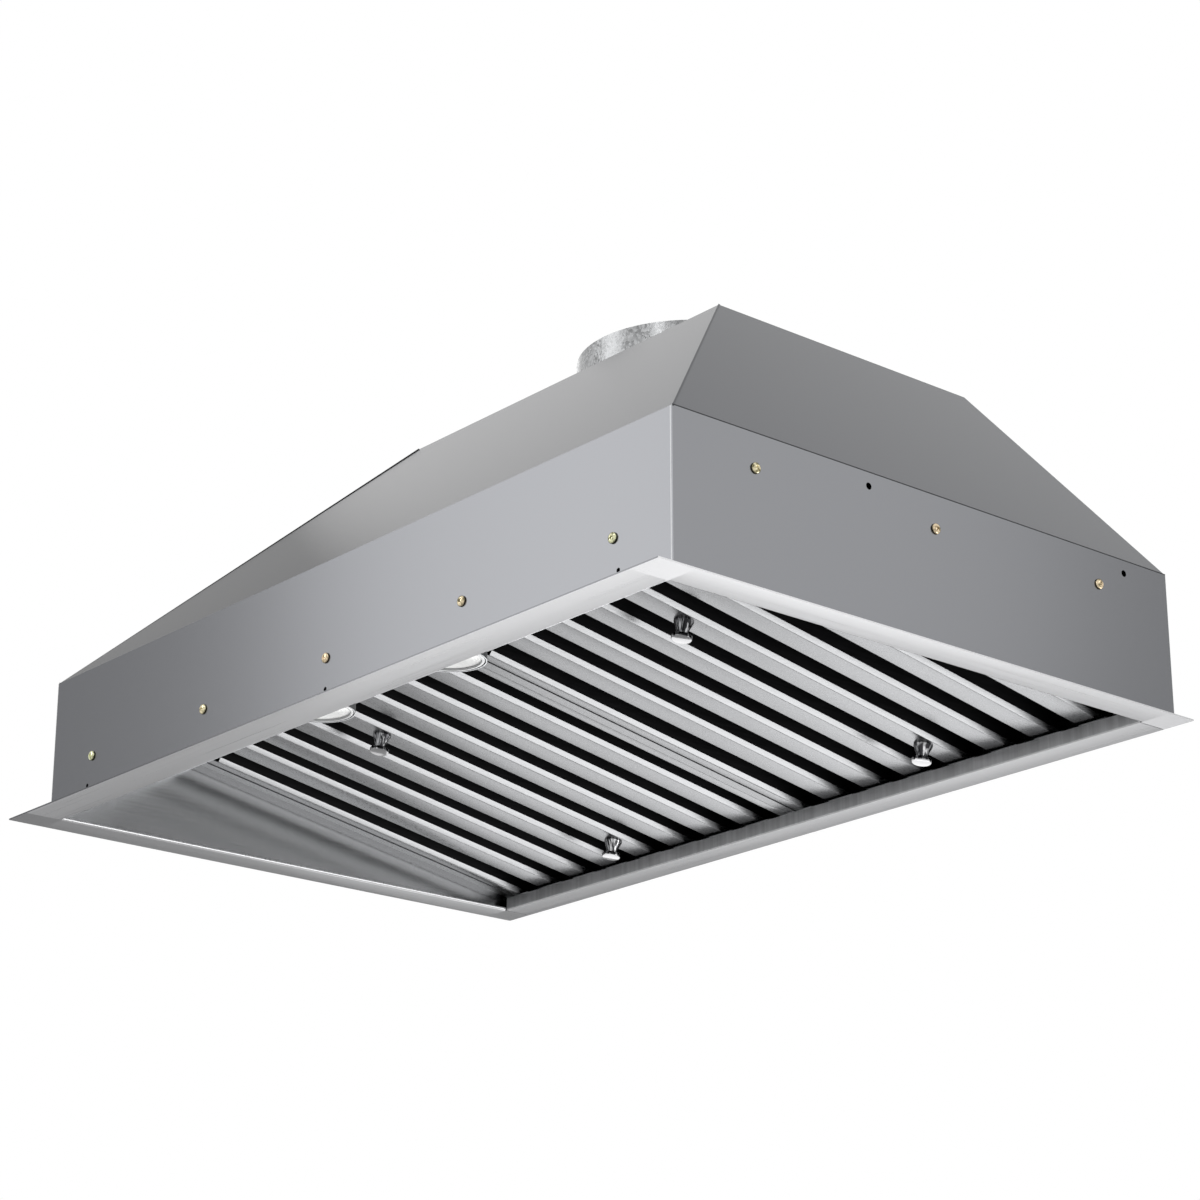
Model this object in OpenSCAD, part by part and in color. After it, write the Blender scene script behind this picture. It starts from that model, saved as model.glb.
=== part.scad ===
// Range hood insert: a bent-sheet hopper that is built into a cabinet over a range.
// Two baffle filters, a slanted lamp and control panel, a centrifugal blower and a round duct collar.
// +Z is up, the cook stands at -Y, and the origin is the centre of the flange's underside.

/* [Flange] */
// Overall width of the bottom flange, left to right
flange_w = 864; // [820:1:1000]
// Overall depth of the bottom flange, front to back
flange_d = 567.5; // [540:0.5:640]
// Thickness of the flange metal
flange_t = 1.2; // [0.8:0.1:2]
// Width of the front flange, from its outer edge to the opening
rim_front = 35.5; // [33:0.5:45]
// Width of each side flange, from its outer edge to the opening
rim_side = 30; // [26:0.5:38]
// Width of the back flange, from its outer edge to the opening
rim_back = 29; // [24:0.5:36]
// Height of the front flange's turned-up lip
front_lip_h = 8.5; // [6:0.5:12]
// Height of the back flange's turned-up lip
back_lip_h = 12; // [8:0.5:15]
// Height of each side flange's turned-up lip
side_lip_h = 3; // [2:0.5:5]

/* [Casing] */
// Thickness of the casing's sheet metal
sheet = 1.2; // [0.8:0.1:2]
// How far the casing's front stands in from the flange's edge
wall_front = 31; // [28:0.5:32]
// How far each side of the casing stands in from the flange's edge
wall_side = 19; // [15:0.5:22]
// Height of the upright walls, up to the fold
fold_z = 128.5; // [115:0.5:160]
// Height of the flat top
top_z = 355.7; // [345:0.1:420]
// Width of the flat top
top_w = 406; // [380:1:480]
// Depth of the flat top, from the back
top_d = 295; // [285:1:320]

/* [Liner] */
// Thickness of the inner liner's sheet metal
liner_t = 1; // [0.8:0.1:1.5]
// Height of the liner's end walls
liner_h = 111; // [108:0.5:112]
// Height of the light panel's front leg
panel_leg_z = 62; // [56:0.5:80]
// Depth of the light panel, from the opening's front edge to the filters
light_panel_d = 137; // [130:0.5:150]
// Height of the rear rail's upright leg
rear_leg_z = 62; // [56:0.5:90]
// Width of the support ledges in front of and behind the filters
ledge_w = 11; // [8:0.5:14]
// Width of the ledge along the foot of each liner wall
liner_ledge_w = 7.5; // [5:0.5:9]
// Width of the strip between each liner wall and the filter beside it
spacer_w = 9.4; // [8:0.1:12]
// Gap between that strip and the liner wall's ledge
spacer_gap = 0.8; // [0.4:0.1:0.9]
// Width of the rail between the two filters
divider_w = 9.6; // [8:0.1:12]

/* [Filters] */
// Slope of the filters, low at the back
filter_tilt = 10.2; // [8:0.1:12]
// Gap between the back flange's lip and the filters' underside
lip_gap = 1.8; // [1.7:0.1:5]
// Thickness of a filter, through its frame
filter_h = 20; // [18:0.5:22]
// Thickness of the filters' sheet metal
filter_t = 0.8; // [0.6:0.1:1]
// Number of lower baffles in each filter
slat_count = 7; // [5:1:9]
// Width of a lower baffle's flat
slat_w = 20; // [17:0.1:24]
// Height of a lower baffle's turned-up edges
slat_h = 4.6; // [3.5:0.1:6]
// How far a lower baffle's edges lean out
slat_lean = 2.5; // [1.5:0.1:4]
// Width of the frame's flat along each side of a filter
side_flat = 10; // [8:0.1:13]
// Width of the frame's flat along the front and the back of a filter
end_flat = 9; // [7:0.1:12]
// Width of an upper baffle's flat
cap_w = 22; // [18:0.5:26]
// Height of an upper baffle's turned-down edges
cap_h = 6; // [4:0.5:8]
// Room behind the filters, in which they tip
tip_room = 8; // [7:0.5:12]
// Clearance between a filter and the rails beside it
filter_clear = 0.5; // [0.3:0.05:1]
// Clearance between a filter and the ledges under it
seat_clear = 0.3; // [0.2:0.05:0.5]
// Gap between the light panel's upper edge and the filters
panel_gap = 2; // [1.5:0.1:3]
// Distance of the front knobs from the filter's front edge
knob_front = 60; // [50:1:90]
// Distance of the back knobs from the filter's back edge
knob_back = 57; // [50:1:90]
// Diameter of a knob where it meets the filter
knob_base_d = 15; // [12:0.5:18]
// Diameter of a knob's waist
knob_waist_d = 9; // [7:0.5:11]
// Diameter of a knob's end disc
knob_disc_d = 17; // [14:0.5:20]
// Length of a knob's cone
knob_cone_h = 13; // [10:0.5:15]
// Thickness of a knob's end disc
knob_disc_h = 3.5; // [2.5:0.5:4]

/* [Fasteners and holes] */
// Diameter of a casing screw's head
head_d = 8.6; // [7:0.1:10]
// Height of a casing screw's head
head_h = 2.6; // [2:0.1:3.2]
// Diameter of a casing screw's shank
shank_d = 4; // [3.5:0.1:4.5]
// Length of a casing screw's shank
shank_l = 8; // [7:0.5:10]
// Distance of the outer front screws from the casing's corners
front_screw_side = 64; // [58:0.5:80]
// Height of the front screws
front_screw_z = 46; // [42:0.5:50]
// Distance of the front screw on each side from the casing's front
side_screw_front = 80; // [60:0.5:100]
// Distance of the back screw on each side from the casing's back
side_screw_back = 83.5; // [60:0.5:100]
// Height of the side screws
side_screw_z = 101; // [98:0.5:104]
// Distance of the front mounting hole on each side from the casing's front
side_hole_front = 195.9; // [180:0.1:230]
// Distance of the back mounting hole from the casing's back
side_hole_back = 52; // [45:0.5:60]
// Height of the side mounting holes
side_hole_z = 117.5; // [116.5:0.1:119]
// Diameter of the side mounting holes
side_hole_d = 5.6; // [5:0.1:6]
// Distance of the outer small holes along the front's foot from the casing's corners
front_hole_side = 58.5; // [50:0.5:80]
// Height of the small holes along the front's foot
front_hole_z = 20; // [19:0.1:21]
// Diameter of the small holes along the front's foot
front_hole_d = 3.8; // [3.2:0.1:4.5]

/* [Duct collar] */
// Outside diameter of the duct collar
collar_d = 204; // [196:0.5:208]
// Wall thickness of the duct collar
collar_t = 1; // [0.8:0.1:1.5]
// Height of the duct collar over the flat top
collar_h = 56.3; // [50:0.1:80]
// Distance of the collar's centre from the casing's back
collar_back = 144.75; // [140:0.25:150]
// Width of the collar's foot, around its outside
collar_foot = 12; // [10:0.5:16]
// Diameter of the damper's rod
rod_d = 4; // [3:0.1:5]
// Height of the damper's rod over the flat top
rod_h = 12; // [10:0.5:16]
// Thickness of the damper flaps
flap_t = 0.8; // [0.6:0.1:1.2]
// Clearance around the flaps' edges
flap_clear = 1.5; // [1:0.1:3]

/* [Blower] */
// Width of the scroll housing, left to right
scroll_w = 206; // [198:1:210]
// Height of the impeller's shaft under the flat top
shaft_drop = 119.7; // [114:0.1:122]
// Outside diameter of the impeller
wheel_d = 170; // [150:1:174]
// Radial length of the impeller's blades
blade_w = 15; // [12:0.5:18]
// Width of the impeller
wheel_w = 176; // [160:1:180]
// Number of blades
blade_count = 36; // [24:1:48]
// Diameter of the scroll's inlets
inlet_d = 142; // [120:1:150]
// Gap between the impeller and the scroll at its throat
throat = 9; // [6:0.5:14]
// Radius of the scroll where it opens into the outlet
scroll_r = 150; // [148:0.5:154]
// Diameter of the motor's body
motor_d = 96; // [80:1:104]
// Diameter of the motor's shaft
shaft_d = 10; // [8:0.5:14]
// Radial running clearance of the shaft in its bearing
shaft_clear = 0.05; // [0.03:0.01:0.1]

/* [Lamps and controls] */
// Distance of each lamp from the middle
lamp_x = 87; // [82:0.5:140]
// Distance of the lamps from the opening's front edge
lamp_in = 53; // [48:0.5:60]
// Height of the lamps' bezels over the flange's underside
lamp_z = 33.9; // [32:0.1:38]
// Outside diameter of a lamp bezel
lamp_d = 55.2; // [50:0.1:58]
// Width of a lamp bezel's ring
bezel_w = 4.5; // [3:0.1:6]
// Height of a lamp bezel
bezel_h = 40; // [36:0.5:46]
// Height of a lamp's can above its bezel
can_h = 24; // [18:0.5:30]
// Clearance between a lamp bezel and the panel's sleeve around it
lamp_clear = 0.3; // [0.2:0.05:0.5]
// Wall thickness of that sleeve
sleeve_t = 0.8; // [0.6:0.1:1.2]
// Height of that sleeve above the bezel's underside
sleeve_h = 24; // [22:0.5:30]
// Width of the control plate
plate_w = 100; // [94:1:104]
// Height of the control plate, measured up the panel
plate_h = 30; // [24:0.5:36]
// Spacing of the push buttons
button_pitch = 18.5; // [17:0.1:20]
// Diameter of a push button
button_d = 11; // [9:0.1:12]
// Travel of a push button
button_travel = 1.5; // [1:0.1:2]
// Clearance around a push button
button_clear = 0.3; // [0.2:0.05:0.4]

/* [Wiring] */
// Diameter of the internal leads
lead_d = 6; // [4:0.5:8]
// Bore of the cable gland in the flat top
gland_bore_d = 13; // [10:0.5:16]
// Distance of the cable gland from the flat top's right edge
gland_side = 53; // [48:1:60]
// Distance of the cable gland from the casing's back
gland_back = 200; // [190:1:210]
// Depth of the terminal box, front to back
box_d = 62; // [50:1:70]
// Height of the terminal box
box_h = 42; // [36:1:50]
// Wall thickness of the terminal box
box_wall = 1.5; // [1:0.1:2]
// Distance of the terminal box from the flat top's right edge
box_side = 8; // [5:1:20]
// Clearance between the terminal box and the scroll
box_gap = 1; // [0.5:0.5:5]

/* [Hidden] */
$fn = 96;

// Small margin that lets a cut pass its faces
eps = 0.5;
// Number of push buttons, one node each
button_count = 5;

// Places of the flange, the opening and the casing
flange_y0 = -flange_d / 2;
back_y = flange_d / 2;
open_y0 = flange_y0 + rim_front;
open_y1 = back_y - rim_back;
open_hx = flange_w / 2 - rim_side;
front_y = flange_y0 + wall_front;
box_hx = flange_w / 2 - wall_side;
slope_rise = top_z - fold_z;
side_slope = atan2(slope_rise, box_hx - top_w / 2);
front_slope = atan2(slope_rise, back_y - top_d - front_y);
back_in_y = back_y - sheet;

// Half width of the casing at a height, set in from its outside
function side_half(z, inset) = min(box_hx - inset,
    box_hx - (z - fold_z) / tan(side_slope) - inset / sin(side_slope));
// Front of the casing at a height, set in from its outside
function front_at(z, inset) = max(front_y + inset,
    front_y + (z - fold_z) / tan(front_slope) + inset / sin(front_slope));
// Height of the fold, set in from the outside of a wall whose upper part leans by an angle
function fold_at(inset, slope) = fold_z - inset * (1 - sin(slope)) / cos(slope);

// Places in the filters' own plane, where y runs down to the back from the opening's back edge
filter_back_z = back_lip_h + lip_gap;
panel_y1 = open_y0 + light_panel_d;
filter_v0 = (panel_y1 - open_y1) / cos(filter_tilt) + panel_gap;
filter_v1 = (back_in_y - tip_room - open_y1) / cos(filter_tilt);
liner_out_x = box_hx - sheet;
liner_in_x = liner_out_x - liner_t;
spacer_x1 = liner_in_x - liner_ledge_w - spacer_gap;
filter_x1 = spacer_x1 - spacer_w - filter_clear;
filter_x0 = divider_w / 2 + filter_clear;
filter_w = filter_x1 - filter_x0;
filter_cx = (filter_x0 + filter_x1) / 2;
slat_pitch = (filter_w - 2 * side_flat + slat_w) / (slat_count + 1);

// Places on the light panel, whose underside passes just over the front lip
panel_z0 = front_lip_h + liner_t;
panel_top_z = filter_back_z + (open_y1 - panel_y1) * tan(filter_tilt) - (seat_clear + liner_t);
panel_slope = atan2(panel_top_z - panel_z0, light_panel_d);
panel_len = light_panel_d / cos(panel_slope);
lamp_y = open_y0 + lamp_in;
sleeve_d = lamp_d + 2 * (lamp_clear + sleeve_t);

// Places of the collar and the blower
collar_y = back_y - collar_back;
collar_r = collar_d / 2;
duct_r = collar_r - collar_t;
rod_z = top_z + rod_h;
flap_r = duct_r - flap_clear;
cutoff_angle = 125;
cutoff_r = wheel_d / 2 + throat;
outlet_front = cutoff_r * cos(cutoff_angle);
shaft_y = collar_y - (scroll_r + outlet_front) / 2;
shaft_z = top_z - shaft_drop;
scroll_sheet = 1;
plate_x = scroll_w / 2;
wheel_disc_x = 24;
motor_x1 = 6;
// How far the shaft reaches into the motor, and past the impeller's disc
shaft_in = 40;
shaft_past = 20;
bracket_t = 3;
function scroll_radius(s) = cutoff_r + (scroll_r - cutoff_r) * s / (360 - cutoff_angle);

// Places of the wiring and the terminal box
gland_x = top_w / 2 - gland_side;
gland_y = back_y - gland_back;
box_x0 = plate_x + scroll_sheet + box_gap;
box_x1 = top_w / 2 - box_side;
gland_wall = 2;
gland_flange_d = gland_bore_d + 13;

module in_filter_plane() {
    translate([0, open_y1, filter_back_z]) rotate([-filter_tilt, 0, 0]) children();
}

module on_panel() {
    translate([0, open_y0, panel_z0]) rotate([panel_slope, 0, 0]) children();
}

module on_shaft() {
    translate([0, shaft_y, shaft_z]) rotate([0, 90, 0]) rotate([0, 0, 90]) children();
}

module block(lo, hi) {
    translate(lo) cube(hi - lo);
}

// Extrudes a profile drawn in Y and Z along X
module along_x(x0, x1) {
    translate([x0, 0, 0]) rotate([90, 0, 90]) linear_extrude(x1 - x0) children();
}

// Extrudes a profile drawn in X and Z along Y
module along_y(y0, y1) {
    translate([0, y1, 0]) rotate([90, 0, 0]) linear_extrude(y1 - y0) children();
}

// Outline of the casing in Y and Z, set in from its outside
module side_view(inset, z0, z1) {
    fold = [[front_y + inset, fold_at(inset, front_slope)]];
    polygon(concat([
        [front_at(z0, inset), z0], [back_y - inset, z0], [back_y - inset, z1],
        [front_at(z1, inset), z1],
    ], z0 < fold_z ? fold : []));
}

// Outline of the casing in X and Z, set in from its outside
module front_view(inset, z0, z1) {
    fold = [box_hx - inset, fold_at(inset, side_slope)];
    right = concat([[side_half(z0, inset), z0]], z0 < fold_z ? [fold] : [], [[side_half(z1, inset), z1]]);
    left = [for (i = [len(right) - 1:-1:0]) [-right[i].x, right[i].y]];
    polygon(concat(right, left));
}

module hole_z(x, y, z0, z1, d) {
    translate([x, y, z0]) cylinder(h = z1 - z0, d = d);
}

module hole_y(x, z, y0, y1, d) {
    translate([x, y1, z]) rotate([90, 0, 0]) cylinder(h = y1 - y0, d = d);
}

module hole_x(y, z, x0, x1, d) {
    translate([x0, y, z]) rotate([0, 90, 0]) cylinder(h = x1 - x0, d = d);
}

// Places of the fasteners and holes
front_screw_xs = [for (i = [-2:2]) i / 2 * (box_hx - front_screw_side)];
front_hole_xs = [for (i = [-1:1]) i * (box_hx - front_hole_side)];
side_screw_y0 = front_y + side_screw_front;
side_screw_y1 = back_y - side_screw_back;
side_screw_ys = [side_screw_y0, (side_screw_y0 + side_screw_y1) / 2, side_screw_y1];
side_hole_ys = [back_y - side_hole_back, front_y + side_hole_front];
back_rivet_xs = front_screw_xs;
foot_screw_r = collar_r + collar_foot / 2;
foot_screw_angles = [for (i = [0:5]) 30 + i * 60];

module flange_strip(x0, x1, y0, y1) {
    block([x0, y0, 0], [x1, y1, flange_t]);
}

module front_flange() {
    color("gainsboro") {
        flange_strip(-open_hx, open_hx, flange_y0, open_y0);
        block([-open_hx, open_y0 - liner_t, 0], [open_hx, open_y0, front_lip_h]);
    }
}

module back_flange() {
    seam = 0.4;
    seam_l = 16;
    color("gainsboro") {
        difference() {
            flange_strip(-open_hx, open_hx, open_y1, back_y);
            for (s = [-1, 1])
                translate([s * open_hx, open_y1 + seam_l / 2, flange_t / 2])
                    cube([2 * seam, seam_l, 2 * flange_t], center = true);
        }
        block([-open_hx + seam, open_y1, 0], [open_hx - seam, open_y1 + liner_t, back_lip_h]);
    }
}

module side_flange(s) {
    color("gainsboro") {
        flange_strip(min(s * open_hx, s * flange_w / 2), max(s * open_hx, s * flange_w / 2),
            flange_y0, back_y);
        block([s > 0 ? open_hx : -open_hx - liner_t, open_y0, 0],
            [s > 0 ? open_hx + liner_t : -open_hx, open_y1, side_lip_h]);
    }
}

module left_flange() { side_flange(-1); }

module right_flange() { side_flange(1); }

module front_casing() {
    color("lightsteelblue") difference() {
        intersection() {
            along_x(-box_hx, box_hx) difference() {
                side_view(0, flange_t, top_z - sheet);
                behind_front_sheet();
            }
            along_y(front_y - eps, back_y) front_view(sheet, flange_t, top_z - sheet);
        }
        for (x = front_screw_xs)
            hole_y(x, front_screw_z, front_y - eps, front_y + sheet + eps, shank_d);
        for (x = front_hole_xs)
            hole_y(x, front_hole_z, front_y - eps, front_y + sheet + eps, front_hole_d);
    }
}

// Everything behind the front sheet, from below its foot to above its top
module behind_front_sheet() {
    z0 = flange_t - eps;
    z1 = top_z + eps;
    polygon([
        [front_y + sheet, z0], [back_y + eps, z0], [back_y + eps, z1],
        [front_at(z1, sheet), z1], [front_y + sheet, fold_at(sheet, front_slope)],
    ]);
}

module side_casing(s) {
    z1 = top_z - sheet;
    color("lightsteelblue") difference() {
        intersection() {
            along_y(front_y, back_y) mirror([s > 0 ? 0 : 1, 0]) polygon([
                [box_hx, flange_t], [box_hx, fold_z], [side_half(z1, 0), z1],
                [side_half(z1, sheet), z1], [box_hx - sheet, fold_at(sheet, side_slope)],
                [box_hx - sheet, flange_t],
            ]);
            along_x(-box_hx, box_hx) side_view(0, flange_t, z1);
        }
        for (y = side_screw_ys)
            hole_x(y, side_screw_z, s > 0 ? box_hx - sheet - eps : -box_hx - eps,
                s > 0 ? box_hx + eps : -box_hx + sheet + eps, shank_d);
        for (y = side_hole_ys)
            hole_x(y, side_hole_z, s > 0 ? box_hx - sheet - eps : -box_hx - eps,
                s > 0 ? box_hx + eps : -box_hx + sheet + eps, side_hole_d);
    }
}

module left_casing() { side_casing(-1); }

module right_casing() { side_casing(1); }

module back_casing() {
    color("lightsteelblue") difference() {
        along_y(back_in_y, back_y) front_view(sheet, flange_t, top_z - sheet);
        for (x = back_rivet_xs)
            hole_y(x, front_screw_z, back_in_y - eps, back_y + eps, shank_d);
    }
}

module top_plate() {
    z0 = top_z - sheet;
    color("silver") difference() {
        intersection() {
            along_x(-box_hx, box_hx) side_view(0, z0, top_z);
            along_y(front_y, back_y) front_view(0, z0, top_z);
        }
        hole_z(0, collar_y, z0 - eps, top_z + eps, 2 * duct_r);
        for (a = foot_screw_angles)
            hole_z(foot_screw_r * cos(a), collar_y + foot_screw_r * sin(a), z0 - eps, top_z + eps,
                shank_d);
        hole_z(gland_x, gland_y, z0 - eps, top_z + eps, gland_bore_d + 2 * gland_wall);
    }
}

module liner_end(s) {
    color("darkgray") difference() {
        union() {
            block([s > 0 ? liner_in_x : -liner_out_x, open_y0, flange_t],
                [s > 0 ? liner_out_x : -liner_in_x, open_y1 - seat_clear, liner_h]);
            in_filter_plane()
                block([s > 0 ? liner_in_x - liner_ledge_w : -liner_in_x - eps, filter_v0, 0],
                    [s > 0 ? liner_in_x + eps : -liner_in_x + liner_ledge_w, -1, liner_t]);
        }
        for (y = side_screw_ys)
            hole_x(y, side_screw_z, s > 0 ? liner_in_x - eps : -liner_out_x - eps,
                s > 0 ? liner_out_x + eps : -liner_in_x + eps, shank_d);
    }
}

module left_liner() { liner_end(-1); }

module right_liner() { liner_end(1); }

// Local place of a ledge that a filter's end rests on, in the filters' plane
module ledge(v0, v1) {
    in_filter_plane()
        block([-liner_in_x + seat_clear, v0, -seat_clear - liner_t],
            [liner_in_x - seat_clear, v1, -seat_clear]);
}

// Sleeves that join the slanted panel to the lamps, which look straight down: the foot of each
// follows the panel at the front and the lamp's bezel at the back
module lamp_sleeves() {
    r = sleeve_d / 2;
    y0 = lamp_y - r - eps;
    y1 = lamp_y + r + eps;
    level_y = open_y0 + (lamp_z - panel_z0) / tan(panel_slope);
    color("silver") for (s = [-1, 1]) difference() {
        translate([s * lamp_x, lamp_y, 0]) difference() {
            cylinder(h = lamp_z + sleeve_h, r = r);
            translate([0, 0, -eps])
                cylinder(h = lamp_z + sleeve_h + 2 * eps, r = r - sleeve_t);
        }
        along_x(s * lamp_x - r - eps, s * lamp_x + r + eps) polygon([
            [y0, -eps], [y1, -eps], [y1, lamp_z], [level_y, lamp_z],
            [y0, panel_at(y0)],
        ]);
    }
}

// Height of the light panel's underside at a place
function panel_at(y) = panel_z0 + (y - open_y0) * tan(panel_slope);

module light_panel() {
    hx = liner_in_x - seat_clear;
    leg_y = front_y + sheet;
    color("silver") difference() {
        union() {
            along_x(-hx, hx) polygon([
                [leg_y, panel_at(leg_y)], [panel_y1, panel_top_z],
                [panel_y1 - liner_t * sin(panel_slope), panel_top_z + liner_t * cos(panel_slope)],
                [leg_y + liner_t, panel_at(leg_y + liner_t) + liner_t / cos(panel_slope)],
                [leg_y + liner_t, panel_leg_z], [leg_y, panel_leg_z],
            ]);
            ledge(filter_v0 - panel_gap - liner_t / 2, filter_v0 + ledge_w);
        }
        for (s = [-1, 1]) hole_z(s * lamp_x, lamp_y, 0, panel_top_z, sleeve_d);
        on_panel() for (i = [1:button_count])
            hole_z(button_x(i), panel_len / 2, -eps, liner_t + eps, button_d + 2 * button_clear);
        for (x = front_screw_xs)
            hole_y(x, front_screw_z, leg_y - eps, leg_y + liner_t + eps, shank_d);
        for (x = front_hole_xs)
            hole_y(x, front_hole_z, leg_y - eps, leg_y + liner_t + eps, front_hole_d);
    }
}

function button_x(i) = (i - (button_count + 1) / 2) * button_pitch;

module rear_rail() {
    hx = liner_in_x - seat_clear;
    color("silver") difference() {
        union() {
            ledge(liner_t + seat_clear, (back_in_y - liner_t / 2 - open_y1) / cos(filter_tilt));
            block([-hx, back_in_y - liner_t, flange_t + seat_clear], [hx, back_in_y, rear_leg_z]);
        }
        for (x = back_rivet_xs)
            hole_y(x, front_screw_z, back_in_y - liner_t - eps, back_in_y + eps, shank_d);
    }
}

// A bar of thin metal that lies on both ledges, open at the top
module plane_channel(x0, x1, t, h) {
    in_filter_plane() translate([0, 0, -seat_clear]) difference() {
        block([x0, filter_v0, 0], [x1, filter_v1, h]);
        block([x0 + t, filter_v0 - eps, t], [x1 - t, filter_v1 + eps, h + eps]);
    }
}

module centre_divider() {
    color("silver") plane_channel(-divider_w / 2, divider_w / 2, liner_t, filter_h / 2);
}

module side_spacers() {
    color("silver") for (s = [-1, 1])
        plane_channel(s > 0 ? spacer_x1 - spacer_w : -spacer_x1,
            s > 0 ? spacer_x1 : -spacer_x1 + spacer_w, liner_t, filter_h / 2);
}

// Pan-head screw that stands along +Z, with its head's underside at zero
module pan_screw(length) {
    slot_w = 1.2;
    slot_l = 4.6;
    difference() {
        union() {
            rotate_extrude() polygon([
                [0, 0], [head_d / 2, 0], [head_d / 2, head_h * 0.35],
                [head_d * 0.4, head_h * 0.8], [head_d * 0.26, head_h], [0, head_h],
            ]);
            translate([0, 0, -length]) cylinder(h = length + eps, d = shank_d);
        }
        for (a = [0, 90])
            rotate([0, 0, a]) translate([-slot_l / 2, -slot_w / 2, head_h / 2])
                cube([slot_l, slot_w, head_h]);
    }
}

module front_screws() {
    color("goldenrod") for (x = front_screw_xs)
        translate([x, front_y, front_screw_z]) rotate([90, 0, 0]) pan_screw(shank_l);
}

module side_screws() {
    color("goldenrod") for (s = [-1, 1], y = side_screw_ys)
        translate([s * box_hx, y, side_screw_z]) rotate([0, s * 90, 0]) pan_screw(shank_l);
}

// Blind rivets, flush outside so that the back lies flat on a wall
module back_rivets() {
    rivet_head_h = 1.6;
    color("silver") for (x = back_rivet_xs) {
        hole_y(x, front_screw_z, back_in_y - liner_t, back_y, shank_d);
        hole_y(x, front_screw_z, back_in_y - liner_t - rivet_head_h, back_in_y - liner_t,
            head_d * 0.75);
    }
}

module top_screws() {
    color("goldenrod") for (a = foot_screw_angles)
        translate([foot_screw_r * cos(a), collar_y + foot_screw_r * sin(a), top_z + collar_t])
            pan_screw(shank_l / 2);
}

module duct_collar() {
    foot_r = collar_r + collar_foot;
    color("darkgray") difference() {
        translate([0, collar_y, top_z]) rotate_extrude() polygon([
            [duct_r, 0], [foot_r, 0], [foot_r, collar_t], [collar_r, collar_t],
            [collar_r, collar_h], [duct_r, collar_h],
        ]);
        for (a = foot_screw_angles)
            hole_z(foot_screw_r * cos(a), collar_y + foot_screw_r * sin(a), top_z - eps,
                top_z + collar_t + eps, shank_d);
        hole_x(collar_y, rod_z, -collar_r - eps, collar_r + eps, rod_d);
        for (a = stop_angles)
            translate([0, collar_y, stop_z]) rotate([0, 90, a])
                cylinder(h = collar_r + eps, d = stop_d);
    }
}

// The stops are short rivets through the collar, just under the flaps' rims
stop_d = 4;
stop_in = 6;
stop_angles = [45, 135, 225, 315];
stop_z = rod_z - flap_t / 2 - seat_clear - stop_d / 2;

module damper_stops() {
    color("silver") for (a = stop_angles)
        translate([0, collar_y, stop_z]) rotate([0, 90, a])
            translate([0, 0, duct_r - stop_in]) cylinder(h = stop_in + collar_t, d = stop_d);
}

module damper_rod() {
    color("dimgray") hole_x(collar_y, rod_z, -collar_r, collar_r, rod_d);
}

knuckle_wall = 1.4;
knuckle_gap = 1.1;
knuckle_d = rod_d + 2 * knuckle_wall;
knuckle_l = 20;
front_knuckle_xs = [-60, 40];
back_knuckle_xs = [-36, 16];
flap_start = knuckle_d / 2 + knuckle_gap;

// One half of the damper: a half disc on knuckles that turn on the rod
module flap(side, knuckle_xs) {
    translate([0, collar_y, rod_z]) difference() {
        union() {
            translate([0, 0, -flap_t / 2]) linear_extrude(flap_t) intersection() {
                circle(flap_r);
                translate([-flap_r, side > 0 ? flap_start : -flap_r]) square([2 * flap_r,
                    flap_r - flap_start]);
            }
            for (x = knuckle_xs) {
                translate([x, 0, 0]) rotate([0, 90, 0]) cylinder(h = knuckle_l, d = knuckle_d);
                block([x, side > 0 ? 0 : -flap_start - 1, -flap_t / 2],
                    [x + knuckle_l, side > 0 ? flap_start + 1 : 0, flap_t / 2]);
            }
        }
        translate([-flap_r, 0, 0]) rotate([0, 90, 0])
            cylinder(h = 2 * flap_r, d = rod_d + 2 * shaft_clear);
    }
}

module front_flap() { color("lightgray") flap(-1, front_knuckle_xs); }

module back_flap() { color("lightgray") flap(1, back_knuckle_xs); }

// Outline of the scroll in the plane across the shaft, grown outwards
function scroll_points(grow) = [for (i = [0:48])
    let (s = i * (360 - cutoff_angle) / 48, a = cutoff_angle + s)
    (scroll_radius(s) + grow) * [cos(a), sin(a)]];

module scroll_outline(grow) {
    top = shaft_drop - sheet;
    polygon(concat([[outlet_front - grow, top]], scroll_points(grow), [[scroll_r + grow, top]]));
}

module scroll_wrap() {
    color("silver") on_shaft() translate([0, 0, -plate_x]) linear_extrude(scroll_w) difference() {
        scroll_outline(scroll_sheet);
        scroll_outline(0);
        translate([outlet_front, shaft_drop / 2])
            square([scroll_r - outlet_front, shaft_drop]);
    }
}

module scroll_plate(s) {
    lip_l = 8;
    color("silver") on_shaft() mirror([0, 0, s > 0 ? 0 : 1]) difference() {
        union() {
            translate([0, 0, plate_x]) linear_extrude(scroll_sheet) scroll_outline(scroll_sheet);
            translate([0, 0, plate_x - lip_l]) cylinder(h = lip_l + scroll_sheet,
                d = inlet_d + 2 * scroll_sheet);
        }
        translate([0, 0, plate_x - lip_l - eps])
            cylinder(h = lip_l + scroll_sheet + 2 * eps, d = inlet_d);
        if (s < 0) for (a = bracket_angles)
            rotate([0, 0, a]) translate([bracket_screw_r, 0, plate_x - eps])
                cylinder(h = scroll_sheet + 2 * eps, d = shank_d);
    }
}

module left_scroll_plate() { scroll_plate(-1); }

module right_scroll_plate() { scroll_plate(1); }

bracket_angles = [30, 150, 270];
bracket_arm_w = 16;
bracket_edge = 10;
bracket_screw_r = inlet_d / 2 + bracket_edge;
bracket_x = -plate_x - scroll_sheet;

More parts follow.
